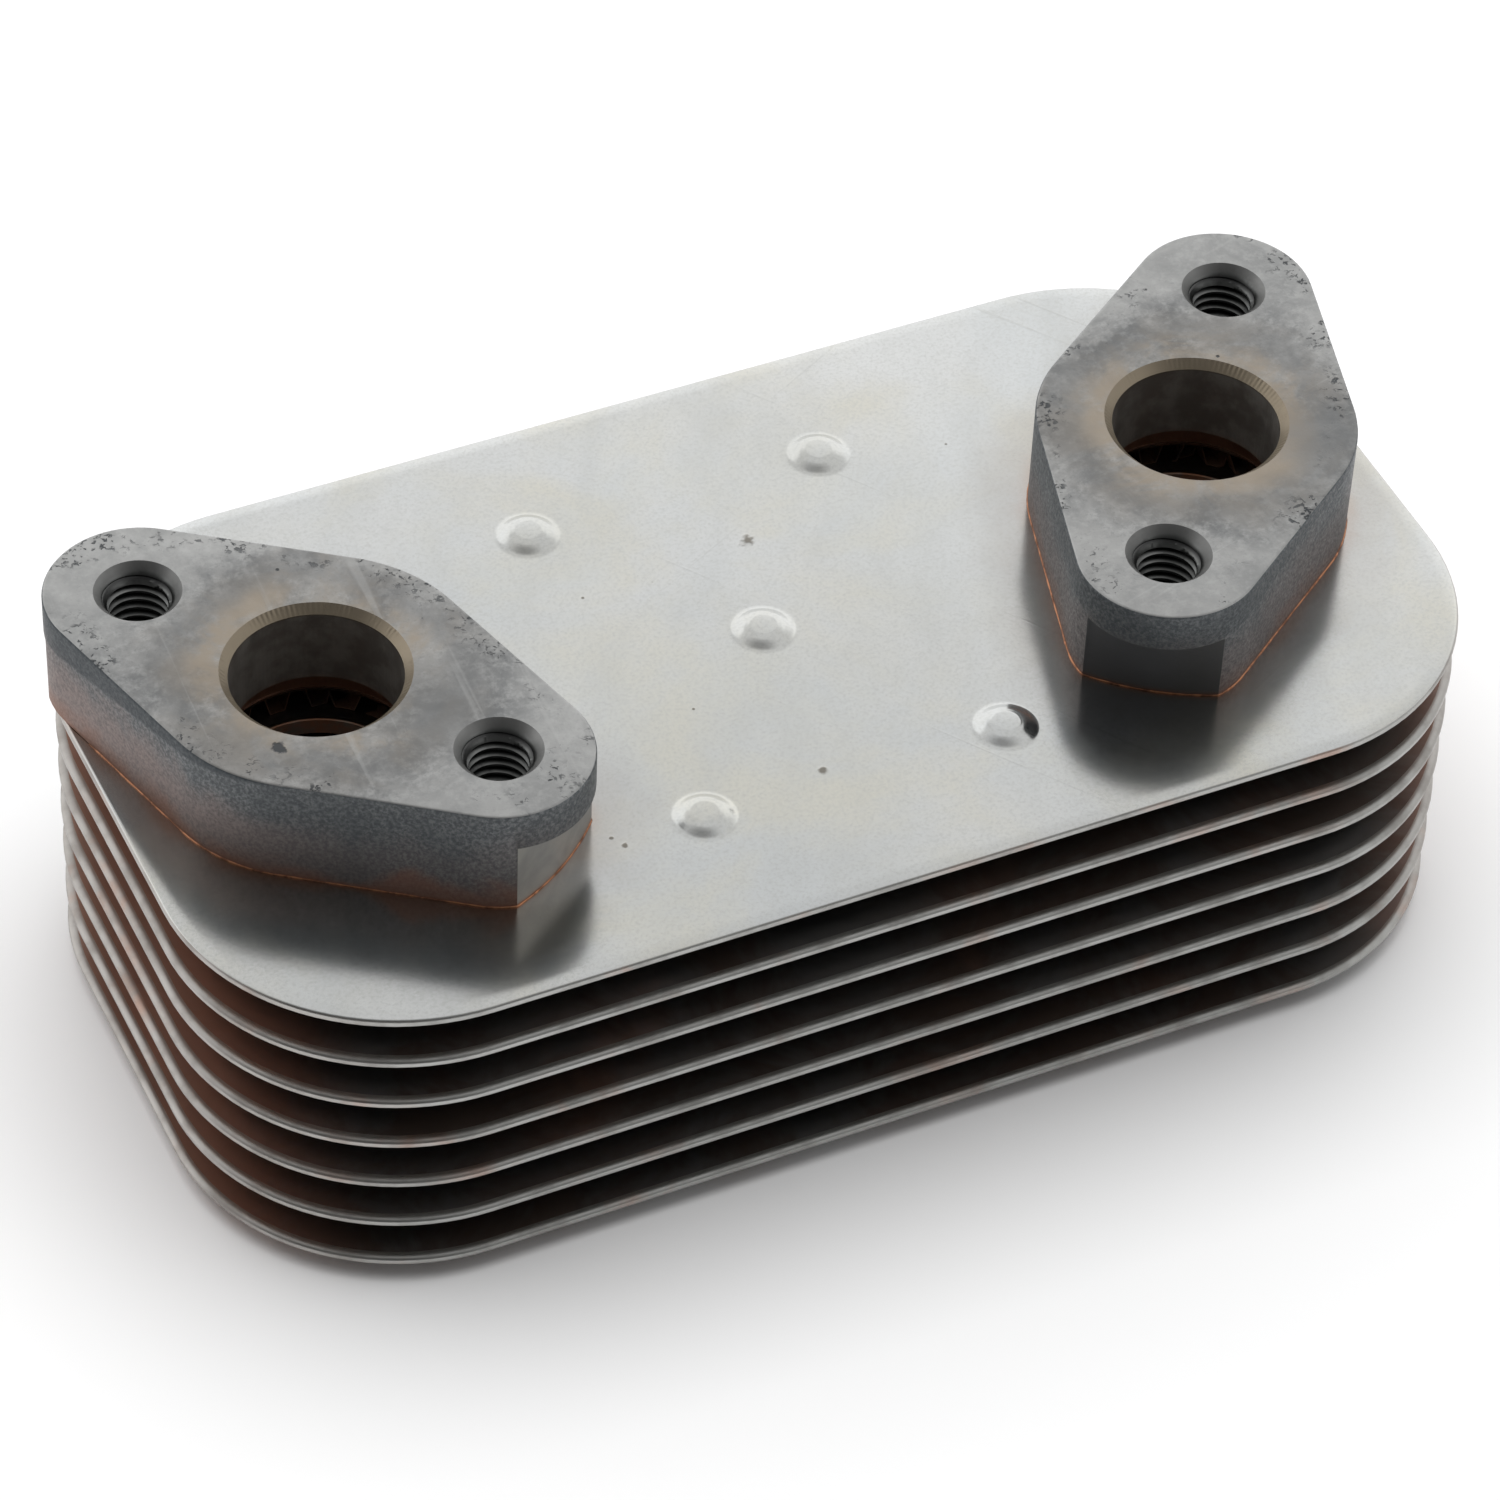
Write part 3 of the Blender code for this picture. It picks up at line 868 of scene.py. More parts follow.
@dataclass(frozen=True)
class ForgedFinish:
    """Forged scale: grainy dark blue-grey, stained copper and pink above the braze."""

    place: FlangePlace
    stained: float
    scale: Colour = (0.082, 0.09, 0.096)
    pale: Colour = (0.20, 0.208, 0.213)
    rust: Colour = (0.25, 0.125, 0.085)
    pink: Colour = (0.25, 0.19, 0.172)
    shear: Colour = (0.042, 0.05, 0.056)

    def make(self) -> bpy.types.Material:
        """Return the material."""
        g = Graph(f"{self.place.side}_forged_scale", 0.55)
        _, _, z = g.axes(g.place)
        height = g.math("SUBTRACT", z, self.place.foot)
        grain = g.noise(2300, 5, 0.7)
        broad = g.noise(75, 4, 0.6, 0.5)
        colour = g.blend(g.step(grain, 0.38, 0.70), self.scale, self.pale)
        colour = g.blend(g.step(broad, 0.45, 0.7, 0.0, 0.5), colour, self.scale)
        wander = g.math("MULTIPLY", g.math("SUBTRACT", broad, 0.5), 14 * MM)
        low = g.math("ADD", height, wander)
        along, _, _ = g.about(self.place.centre, self.place.angle)
        outer_end = g.step(along, -10 * MM, 22 * MM, 1.0, 0.3)
        flush = g.math("MULTIPLY", g.step(low, 5.0 * MM, 11.0 * MM, 0.8 * self.stained, 0.0), outer_end)
        flush = g.math("MULTIPLY", flush, g.step(grain, 0.30, 0.60, 0.55, 1.0))
        colour = g.blend(flush, colour, self.pink)
        colour = g.blend(g.step(low, 0.3 * MM, 4.2 * MM, 0.7 * self.stained, 0.0), colour, self.rust)
        close = g.step(height, 0.2 * MM, 0.7 * MM, 0.5, 0.0)
        colour = g.blend(close, colour, self.rust)
        under_top = g.math("SUBTRACT", self.place.top, z)
        leaning = g.math("ADD", under_top, g.math("MULTIPLY", along, 0.12))
        sheared = g.step(leaning, 0.5 * MM, 1.1 * MM, 0.75, 0.0)
        sheared = g.math("MULTIPLY", sheared, self.stained)
        colour = g.blend(sheared, colour, self.shear)
        coarse = g.bump(g.noise(420, 4, 0.65), 0.10 * MM, 0.7)
        normal = g.bump(grain, 0.045 * MM, 0.9, coarse)
        return g.finish(colour, g.step(grain, 0.3, 0.7, 0.62, 0.46), normal)


@dataclass(frozen=True)
class TurnedFinish:
    """The turned relief at a flange's two ends: smooth satin steel with fine level lines, darkened by a
    set amount of painted shade.
    """

    place: FlangePlace
    painted_end_shade: float
    steel: Colour = (0.36, 0.352, 0.335)
    dark: Colour = (0.17, 0.175, 0.187)
    copper: Colour = (0.34, 0.19, 0.125)

    def make(self) -> bpy.types.Material:
        """Return the material."""
        g = Graph(f"{self.place.side}_turned_end", 1.0)
        _, _, z = g.axes(g.place)
        height = g.math("SUBTRACT", z, self.place.foot)
        clouds = g.noise(140, 4, 0.6, 0.4)
        # painted shade: the end's colour is pulled towards the dark steel by a set amount, on top of
        # cloudy tone variation
        darkness = g.step(clouds, 0.4, 0.65, self.painted_end_shade, 0.3 + 0.7 * self.painted_end_shade)
        colour = g.blend(darkness, self.steel, self.dark)
        colour = g.blend(g.step(height, 0.1 * MM, 0.8 * MM, 0.5, 0.0), colour, self.copper)
        lines = g.noise(500, 3, 0.6, 0.0, (0.05, 0.05, 5.0))
        normal = g.bump(lines, 0.02 * MM, 0.7)
        return g.finish(colour, g.step(clouds, 0.3, 0.7, 0.30, 0.42), normal)


@dataclass(frozen=True)
class BoreFinish:
    """A bored wall: olive chamfer with chatter marks, brown-grey wall, copper at its foot."""

    place: FlangePlace
    chatter: float = 110.0
    olive: Colour = (0.245, 0.205, 0.15)
    wall: Colour = (0.30, 0.275, 0.25)
    pale: Colour = (0.42, 0.40, 0.37)
    copper: Colour = (0.50, 0.25, 0.15)

    def make(self) -> bpy.types.Material:
        """Return the material."""
        g = Graph(f"{self.place.side}_bore", 0.75)
        x, y, z = g.about(self.place.centre)
        depth = g.math("SUBTRACT", self.place.top, z)
        clouds = g.noise(260, 4, 0.65)
        colour = g.blend(g.step(clouds, 0.4, 0.65), self.wall, self.pale)
        colour = g.blend(g.step(depth, 0.9 * MM, 1.3 * MM, 1.0, 0.0), colour, self.olive)
        colour = g.blend(g.step(depth, 9.5 * MM, 12.5 * MM, 0.0, 0.8), colour, self.copper)
        angle = g.math("ARCTAN2", y, x)
        teeth = g.math("SINE", g.math("MULTIPLY", angle, self.chatter))
        gate = g.math("MULTIPLY", g.step(depth, 0.0, 1.1 * MM, 0.8, 0.15), g.step(clouds, 0.42, 0.62))
        ticks = g.math("MULTIPLY", teeth, gate)
        lines = g.noise(700, 3, 0.6, 0.0, (0.04, 0.04, 3.0))
        normal = g.bump(ticks, 0.03 * MM, 0.8, g.bump(lines, 0.02 * MM, 0.6))
        return g.finish(colour, g.step(clouds, 0.3, 0.7, 0.30, 0.44), normal)


@dataclass(frozen=True)
class ThreadFinish:
    """Cut threads: grey flanks with painted shade in the grooves and oily dark blotches."""

    place: FlangePlace
    steel: Colour = (0.20, 0.205, 0.20)
    shade_and_oil: Colour = (0.06, 0.06, 0.06)
    mouth: Colour = (0.25, 0.25, 0.245)

    def make(self) -> bpy.types.Material:
        """Return the material."""
        g = Graph(f"{self.place.side}_thread", 1.0)
        near, far = self.place.bolts()
        reach = g.math("MINIMUM", g.reach(near), g.reach(far))
        _, _, z = g.axes(g.place)
        depth = g.math("SUBTRACT", self.place.top, z)
        # painted shade: the thread grooves deeper than the mouth are painted dark; the noise after it
        # adds oily dark blotches
        groove_shade = g.step(reach, 3.38 * MM, 3.9 * MM)
        below = g.step(depth, 0.9 * MM, 1.5 * MM)
        colour = g.blend(g.math("MULTIPLY", groove_shade, below), self.steel, self.shade_and_oil)
        colour = g.blend(g.step(g.noise(500, 4), 0.5, 0.75, 0.0, 0.6), colour, self.shade_and_oil)
        mouth = g.step(depth, 0.7 * MM, 1.0 * MM, 1.0, 0.0)
        colour = g.blend(g.math("MULTIPLY", mouth, 0.7), colour, self.mouth)
        normal = g.bump(g.noise(1600, 3), 0.015 * MM, 0.7)
        sheen = g.step(g.noise(300, 3), 0.3, 0.7, 0.28, 0.42)
        rough = g.math("ADD", sheen, g.math("MULTIPLY", mouth, 0.15))
        return g.finish(colour, rough, normal)


@dataclass(frozen=True)
class BrazeFinish:
    """Copper braze metal: bright orange, a little rough and oxidised in patches."""

    name: str
    copper: Colour = (0.50, 0.235, 0.13)
    oxide: Colour = (0.20, 0.10, 0.065)

    def make(self) -> bpy.types.Material:
        """Return the material."""
        g = Graph(self.name, 1.0)
        patches = g.noise(420, 4, 0.65, 0.3)
        colour = g.blend(g.step(patches, 0.42, 0.62), self.copper, self.oxide)
        normal = g.bump(g.noise(1900, 4), 0.03 * MM, 0.8)
        return g.finish(colour, g.step(patches, 0.3, 0.7, 0.30, 0.48), normal)


@dataclass(frozen=True)
class InnerFinish:
    """Thin sheet inside the elements, washed over with copper braze."""

    name: str
    copper: Colour = (0.58, 0.30, 0.19)
    steel: Colour = (0.42, 0.36, 0.31)

    def make(self) -> bpy.types.Material:
        """Return the material."""
        g = Graph(self.name, 0.7)
        wash = g.noise(180, 4, 0.62, 0.5)
        colour = g.blend(g.step(wash, 0.36, 0.62), self.steel, self.copper)
        normal = g.bump(g.noise(1300, 3), 0.02 * MM, 0.7)
        return g.finish(colour, g.step(wash, 0.3, 0.7, 0.34, 0.5), normal)


@dataclass(frozen=True)
class FloorFinish:
    """A plain pale matt floor."""

    white: Colour = (0.93, 0.93, 0.93)
    shade: Colour = (0.91, 0.91, 0.912)

    def make(self) -> bpy.types.Material:
        """Return the material."""
        g = Graph("pale_floor", 0.0)
        g.shader.inputs["Specular IOR Level"].default_value = 0.1
        colour = g.blend(g.noise(3, 2), self.white, self.shade)
        rough = g.step(g.noise(60, 2), 0.3, 0.7, 0.85, 0.95)
        return g.finish(colour, rough, g.bump(g.noise(400), 0.01 * MM, 0.2))


# ------------------------------------------------------------------ plate elements


@dataclass
class PressedSheet:
    """What the upper and lower shells share: a rounded outline and a pierced, dimpled face."""

    stack: Stack
    corner_steps: int = 24
    port_steps: int = 72
    dimple_steps: int = 40
    support: float = 0.25 * MM
    thickness: float = 0.4 * MM
    crisp: float = 40.0
    port_radius: float = 11.4 * MM
    dimple_radius: float = 3.85 * MM
    dimple: tuple[Point2, ...] = ()

    def outline(self, inset: float, height: float) -> None:
        """Start an object with one flat rounded rectangle, its face selected in edit mode.

        Args:
            inset: How far it lies inside the stack's outline.
            height: Its height.
        """
        Bench.clear()
        bpy.ops.mesh.primitive_plane_add(size=1, location=(0, 0, height))
        Bench.open_new()
        size = (self.stack.length - 2 * inset, self.stack.width - 2 * inset, 1)
        bpy.ops.transform.resize(value=size, center_override=(0, 0, height))
        bpy.ops.mesh.select_mode(type="VERT")
        bpy.ops.mesh.select_all(action="SELECT")
        bpy.ops.mesh.bevel(
            offset=self.stack.corner - inset,
            offset_type="OFFSET",
            segments=self.corner_steps,
            profile=0.5,
            affect="VERTICES",
        )
        bpy.ops.mesh.select_mode(type="FACE")
        bpy.ops.mesh.select_all(action="SELECT")

    @staticmethod
    def inset(steps: Sequence[Point2], each: bool = False) -> None:
        """Inset the selected faces again and again.

        Args:
            steps: A width and a depth along the face's normal for each inset.
            each: Whether the faces are inset one by one.
        """
        for width, depth in steps:
            bpy.ops.mesh.inset(thickness=width, depth=depth, use_individual=each)

    @staticmethod
    def is_circle(edge: bmesh.types.BMEdge, centre: Point2, radius: float, height: float) -> bool:
        """Return whether an edge lies on a level circle."""
        return all(
            abs(math.hypot(v.co.x - centre[0], v.co.y - centre[1]) - radius) < TOUCH
            and abs(v.co.z - height) < TOUCH
            for v in edge.verts
        )

    def pierce(self, circles: Sequence[tuple[Point2, float, int]], height: float, up: bool) -> None:
        """Swap the selected flat face for one with round faces let into it.

        Args:
            circles: Each round place's centre, radius and number of sides.
            height: The face's height.
            up: Whether the faces look up.
        """
        bpy.ops.mesh.delete(type="ONLY_FACE")
        for centre, radius, steps in circles:
            bpy.ops.mesh.primitive_circle_add(
                vertices=steps, radius=radius, fill_type="NOTHING", location=(*centre, height)
            )

        def is_open(edge: bmesh.types.BMEdge) -> bool:
            """Return whether an edge is an open one at the face's height."""
            level = all(abs(v.co.z - height) < TOUCH for v in edge.verts)
            return level and (edge.is_boundary or edge.is_wire)

        Bench.pick(Select.EDGES, is_open)
        bpy.ops.mesh.fill(use_beauty=True)
        for centre, radius, _ in circles:
            Bench.pick(Select.EDGES, lambda e: self.is_circle(e, centre, radius, height))
            bpy.ops.mesh.edge_face_add()
        way = 1 if up else -1

        def is_turned(face: bmesh.types.BMFace) -> bool:
            """Return whether a face at this height looks the wrong way."""
            return abs(face.calc_center_median().z - height) < TOUCH and face.normal.z * way < -0.5

        if Bench.pick(Select.FACES, is_turned):
            bpy.ops.mesh.flip_normals()

    @staticmethod
    def pick_discs(places: Sequence[Point2], height: float) -> None:
        """Select the round faces centred on places.

        Args:
            places: The round faces' centres.
            height: Their height.
        """

        def is_disc(face: bmesh.types.BMFace) -> bool:
            """Return whether a face is one of the round ones."""
            middle = face.calc_center_median()
            near = any(math.hypot(middle.x - x, middle.y - y) < NEAR for x, y in places)
            return near and abs(middle.z - height) < TOUCH and len(face.verts) > 8

        Bench.pick(Select.FACES, is_disc)

    def press(self, height: float, up: bool) -> None:
        """Let the ports and the dimples into the selected flat face.

        Args:
            height: The face's height.
            up: Whether the face looks up.
        """
        places = self.stack.dimples()
        circles = [(place, self.dimple_radius + self.support, self.dimple_steps) for place in places]
        circles += [
            (place, self.port_radius + self.support, self.port_steps)
            for place in self.stack.ports.values()
        ]
        self.pierce(circles, height, up)
        self.pick_discs(places, height)
        self.inset([(self.support, 0.0), *self.dimple], each=True)
        self.open_ports(height)

    def open_ports(self, height: float) -> None:
        """Inset the two port discs by the support width and remove what is left of them.

        Args:
            height: The discs' height.
        """
        self.pick_discs(list(self.stack.ports.values()), height)
        self.inset([(self.support, 0.0)], each=True)
        bpy.ops.mesh.delete(type="FACE")

    def thicken(self, name: str) -> bpy.types.Object:
        """Give the open skin its wall thickness.

        Args:
            name: The piece's name.

        Returns:
            The closed sheet.
        """
        piece = Bench.settle(name)
        Bench.modify("SOLIDIFY", thickness=self.thickness, offset=-1.0, use_even_offset=True)
        return piece

    def dress(
        self, piece: bpy.types.Object, face: bpy.types.Material, rim: bpy.types.Material, seen: float
    ) -> None:
        """Give the flat face and the rim their own finishes.

        Args:
            piece: The shell.
            face: The finish of the face.
            rim: The finish of the rim.
            seen: How far the rim's finish reaches inwards.
        """

        def slot(polygon: bpy.types.MeshPolygon) -> int:
            """Return 1 on the rim and 0 elsewhere."""
            middle = polygon.center
            return 1 if self.stack.inset_of(middle.x, middle.y) < seen else 0

        Bench.dress(piece, [face, rim], slot)


@dataclass
class UpperShell(PressedSheet):
    """The flat upper shell of an element: rolled rim, two ports and five raised dimples."""

    rim_width: float = 1.0 * MM
    rim_drop: float = 0.5 * MM
    fall: tuple[Point2, ...] = ()
    rim_steps: int = 7
    dimple: tuple[Point2, ...] = (
        (0.12 * MM, 0.01 * MM),
        (0.14 * MM, 0.035 * MM),
        (0.16 * MM, 0.07 * MM),
        (0.18 * MM, 0.10 * MM),
        (0.38 * MM, 0.23 * MM),
        (0.38 * MM, 0.21 * MM),
        (0.24 * MM, 0.10 * MM),
        (0.20 * MM, 0.05 * MM),
        (0.16 * MM, 0.02 * MM),
        (0.14 * MM, 0.03 * MM),
        (0.12 * MM, 0.025 * MM),
        (0.14 * MM, 0.005 * MM),
    )

    def build(self, name: str) -> bpy.types.Object:
        """Model the top element's upper shell.

        Args:
            name: The piece's name.

        Returns:
            The shell.
        """
        face = self.stack.faces[0]
        self.outline(0.0, face - self.rim_drop)
        quarter = [math.pi / 2 * step / self.rim_steps for step in range(self.rim_steps + 1)]
        roll = [(1 - math.cos(a), math.sin(a)) for a in quarter]
        round_height = self.rim_drop - sum(rise for _, rise in self.fall)
        self.inset([
            (self.rim_width * (b[0] - a[0]), round_height * (b[1] - a[1]))
            for a, b in zip(roll, roll[1:])
        ])
        self.inset([*self.fall, (self.support, 0.0)])
        self.press(face, up=True)
        skirt = face - self.rim_drop
        Bench.pick(
            Select.EDGES,
            lambda e: e.is_boundary and all(abs(v.co.z - skirt) < TOUCH for v in e.verts),
        )
        drop = self.rim_drop - self.stack.sheet
        bpy.ops.mesh.extrude_edges_move(TRANSFORM_OT_translate={"value": (0, 0, drop)})
        piece = self.thicken(name)
        Bench.smooth(piece, self.crisp)
        return piece


@dataclass
class LowerShell(PressedSheet):
    """The dished lower shell of an element: a flat lip, a drawn wall and a dimpled floor."""

    port_radius: float = 10.55 * MM
    lip_inset: float = 0.1 * MM
    lip_width: float = 2.9 * MM
    lip_edge: float = 0.1 * MM
    seam: float = 0.05 * MM
    wall_slope: float = 0.30 * MM
    bend: tuple[Point2, ...] = (
        (0.20 * MM, 0.03 * MM),
        (0.18 * MM, 0.12 * MM),
        (0.10 * MM, 0.20 * MM),
    )
    dimple_radius: float = 3.8 * MM
    dimple: tuple[Point2, ...] = (
        (0.15 * MM, 0.03 * MM),
        (0.25 * MM, 0.14 * MM),
        (0.60 * MM, 0.44 * MM),
        (0.60 * MM, 0.40 * MM),
        (0.30 * MM, 0.10 * MM),
        (0.25 * MM, 0.03 * MM),
    )

    def build(self, name: str, blank: bool) -> bpy.types.Object:
        """Model one lower shell at the top element's height.

        Args:
            name: The piece's name.
            blank: Whether its floor has neither ports nor dimples.

        Returns:
            The shell.
        """
        face = self.stack.faces[0]
        lip = face - self.stack.sheet - self.seam - self.thickness
        floor = face - self.stack.element_height
        self.outline(self.lip_inset, lip)
        bpy.ops.mesh.flip_normals()
        self.inset([(self.lip_width, 0.0)])
        bends = 2 * sum(depth for _, depth in self.bend)
        wall = (self.wall_slope, lip - floor - bends)
        self.inset([*self.bend, wall, *reversed(self.bend), (self.support, 0.0)])
        if not blank:
            self.press(floor, up=False)
        self.thicken(name)
        Bench.edit()
        Bench.pick(
            Select.EDGES,
            lambda e: len(e.link_faces) == 2
            and e.calc_face_angle(0) > 1.0
            and all(self.stack.inset_of(v.co.x, v.co.y) < self.lip_inset + HAIR for v in e.verts),
        )
        bpy.ops.mesh.bevel(offset=self.lip_edge, segments=2, affect="EDGES")
        piece = Bench.settle(name)
        Bench.smooth(piece, self.crisp)
        return piece


@dataclass
class PlateStack:
    """All the sheet-metal elements, one above the other."""

    stack: Stack
    feet: tuple[FlangePlace, ...]
    top_roll: float = 0.5 * MM
    top_fall: tuple[Point2, ...] = (
        (0.4 * MM, 0.035 * MM),
        (0.5 * MM, 0.02 * MM),
        (0.4 * MM, 0.005 * MM),
    )
    top_rim_seen: float = 0.165 * MM
    rim_seen: float = 1.1 * MM
    lip_seen: float = 0.35 * MM

    def build(self) -> None:
        """Model, copy and dress every upper and lower shell."""
        half = self.stack.length / 2
        rim = RimFinish(half).make()
        plate = PlateFinish(self.feet).make()
        film = CopperFilmFinish("copper_film_face", half).make()
        dish = CopperFilmFinish("copper_film_dish", half).make()
        count = len(self.stack.faces)
        top = UpperShell(self.stack, rim_width=self.top_roll, fall=self.top_fall)
        first = top.build("upper_plate_1")
        top.dress(first, plate, rim, self.top_rim_seen)
        hand_over(first, "upper_shell_1")
        upper = UpperShell(self.stack)
        spare = upper.build("upper_plate")
        for k in range(2, count + 1):
            twin = Bench.copy(spare, f"upper_plate_{k}", self.stack.drop_to(k))
            upper.dress(twin, film, rim, self.rim_seen)
            hand_over(twin, f"upper_shell_{k}")
        bpy.data.objects.remove(spare)
        lower = LowerShell(self.stack)
        pattern = lower.build("lower_dish_1", blank=False)
        last = lower.build(f"lower_dish_{count}", blank=True)
        dishes = [pattern]
        for k in range(2, count):
            dishes.append(Bench.copy(pattern, f"lower_dish_{k}", self.stack.drop_to(k)))
        Bench.take(last)
        bpy.ops.transform.translate(value=self.stack.drop_to(count))
        dishes.append(Bench.settle(last.name))
        for k, piece in enumerate(dishes, start=1):
            lower.dress(piece, dish, rim, self.lip_seen)
            hand_over(piece, f"lower_shell_{k}")


# ------------------------------------------------------------------ inside the elements


@dataclass
class Turbulator:
    """The offset-strip fin sheet inside an element."""

    stack: Stack
    period: float = 4.8 * MM
    strip: float = 3.2 * MM
    strip_gap: float = 0.06 * MM
    sheet: float = 0.18 * MM
    side_gap: float = 5.2 * MM
    port_gap: float = 0.5 * MM
    port_radius: float = 11.4 * MM
    port_steps: int = 48
    corner_steps: int = 12
    flat_share: float = 0.36
    slope_share: float = 0.14
    crisp: float = 20.0

    def build(self, material: bpy.types.Material) -> None:
        """Model one fin sheet, copy it down the stack and dress every one.

        Args:
            material: The sheets' finish.
        """
        first = self.model()
        sheets = [first]
        for k in range(2, len(self.stack.faces) + 1):
            sheets.append(Bench.copy(first, f"turbulator_sheet_{k}", self.stack.drop_to(k)))
        for k, piece in enumerate(sheets, start=1):
            Bench.dress(piece, [material])
            hand_over(piece, f"turbulator_{k}")

    def model(self) -> bpy.types.Object:
        """Model the top element's fin sheet.

        Returns:
            The fin sheet.
        """
        low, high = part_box("turbulator_1")
        rise = high.z - low.z - self.sheet
        base = low.z + self.sheet / 2
        start_x = low.x
        span = high.x - low.x
        count = int(span / self.period) + 1
        rows = int((high.y - low.y) / (2 * self.strip)) + 1
        Bench.clear()
        width = self.strip - self.strip_gap
        bpy.ops.mesh.primitive_plane_add(size=1, location=(start_x, low.y + width / 2, base))
        Bench.open_new()
        flat = self.period * self.flat_share
        slope = self.period * self.slope_share
        bpy.ops.transform.resize(
            value=(flat, width, 1), center_override=(start_x, low.y + width / 2, base)
        )
        right = start_x + flat / 2
        for step_x, step_z in ((slope, rise), (flat, 0.0), (slope, -rise)):
            Bench.pick(Select.EDGES, lambda e: all(abs(v.co.x - right) < WELD for v in e.verts))
            bpy.ops.mesh.extrude_edges_move(TRANSFORM_OT_translate={"value": (step_x, 0, step_z)})
            right += step_x
        bpy.ops.mesh.select_all(action="SELECT")
        bpy.ops.mesh.duplicate_move(
            TRANSFORM_OT_translate={"value": (-self.period / 2, self.strip, 0)}
        )
        piece = Bench.settle("turbulator_sheet_1")
        Bench.modify(
            "ARRAY",
            count=count + 1,
            use_relative_offset=False,
            use_constant_offset=True,
            constant_offset_displace=(self.period, 0, 0),
            use_merge_vertices=True,
            merge_threshold=WELD,
        )
        Bench.modify(
            "ARRAY",
            count=rows,
            use_relative_offset=False,
            use_constant_offset=True,
            constant_offset_displace=(0, 2 * self.strip, 0),
        )
        Bench.modify("SOLIDIFY", thickness=self.sheet, offset=0.0)
        self.trim(piece, low.z - MM, high.z + MM)
        Bench.smooth(piece, self.crisp)
        return piece

    def trim(self, piece: bpy.types.Object, low: float, high: float) -> None:
        """Cut the sheet to the element's rounded inside and open it round the ports.

        Args:
            piece: The fin sheet.
            low: A height below it.
            high: A height above it.
        """
        sheet = PressedSheet(self.stack, corner_steps=self.corner_steps)
        sheet.outline(self.side_gap, low)
        bpy.ops.mesh.extrude_region_move(TRANSFORM_OT_translate={"value": (0, 0, high - low)})
        bpy.ops.mesh.select_all(action="SELECT")
        bpy.ops.mesh.normals_make_consistent(inside=False)
        Bench.cut(piece, Bench.settle("fin_trim"), "INTERSECT")
        radius = self.port_radius + self.port_gap
        for centre in self.stack.ports.values():
            profile = [(0.0, low - MM), (radius, low - MM), (radius, high + MM), (0.0, high + MM)]
            Bench.cut(piece, Bench.lathe(profile, centre, self.port_steps, "fin_port"))


@dataclass
class PortRings:
    """The spacer rings between the elements, round both port columns."""

    stack: Stack
    steps: int = 72
    wall: float = 3.9 * MM
    edge: float = 0.25 * MM
    crisp: float = 30.0

    def build(self, material: bpy.types.Material) -> None:
        """Model one ring for each side, copy it down the column and dress it.

        Args:
            material: The rings' finish.
        """
        for side, centre in self.stack.ports.items():
            low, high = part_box(f"spacer_ring_{side}_1")
            outer = (high.x - low.x) / 2
            inner = outer - self.wall
            edge = self.edge
            profile = [
                (inner, low.z),
                (outer - edge, low.z),
                (outer, low.z + edge),
                (outer, high.z - edge),
                (outer - edge, high.z),
                (inner + edge, high.z),
                (inner, high.z - edge),
                (inner, low.z),
            ]
            first = Bench.lathe(profile, centre, self.steps, f"{side}_port_ring_1")
            rings = [first]
            for k in range(2, len(self.stack.faces)):
                rings.append(Bench.copy(first, f"{side}_port_ring_{k}", self.stack.drop_to(k)))
            for k, piece in enumerate(rings, start=1):
                Bench.smooth(piece, self.crisp)
                Bench.dress(piece, [material])
                hand_over(piece, f"spacer_ring_{side}_{k}")


# ------------------------------------------------------------------ port flanges


class FlangeSkin(Enum):
    """A flange's finishes, in slot order."""

    FORGED = 0
    TOP = 1
    TURNED = 2
    BORE = 3
    THREAD = 4


@dataclass(frozen=True)
class FlangeWearAndShade:
    """How one flange has aged, and how much painted shade it carries."""

    stained: float
    """How strongly copper stains the forged sides."""
    painted_end_shade: float
    # How much painted shade darkens the turned ends.
    """How dark the turned ends are."""
    painted_shade_patch: Point2
    # The place of the painted shade patch on the top face, from the bore's centre.
    """The darkest patch of the top face, from the bore's centre."""
    pit: Point2 | None = None
    """The place of the deepest pit in the top face."""


# Each flange's real staining and pits, with the painted shade of its turned ends and top face.
WEAR_AND_SHADE = {
    "left": FlangeWearAndShade(1.0, 0.0, (9.7 * MM, -10.6 * MM), (-62.7 * MM, -10.0 * MM)),
    "right": FlangeWearAndShade(0.45, 0.85, (12.9 * MM, -7.6 * MM)),
}


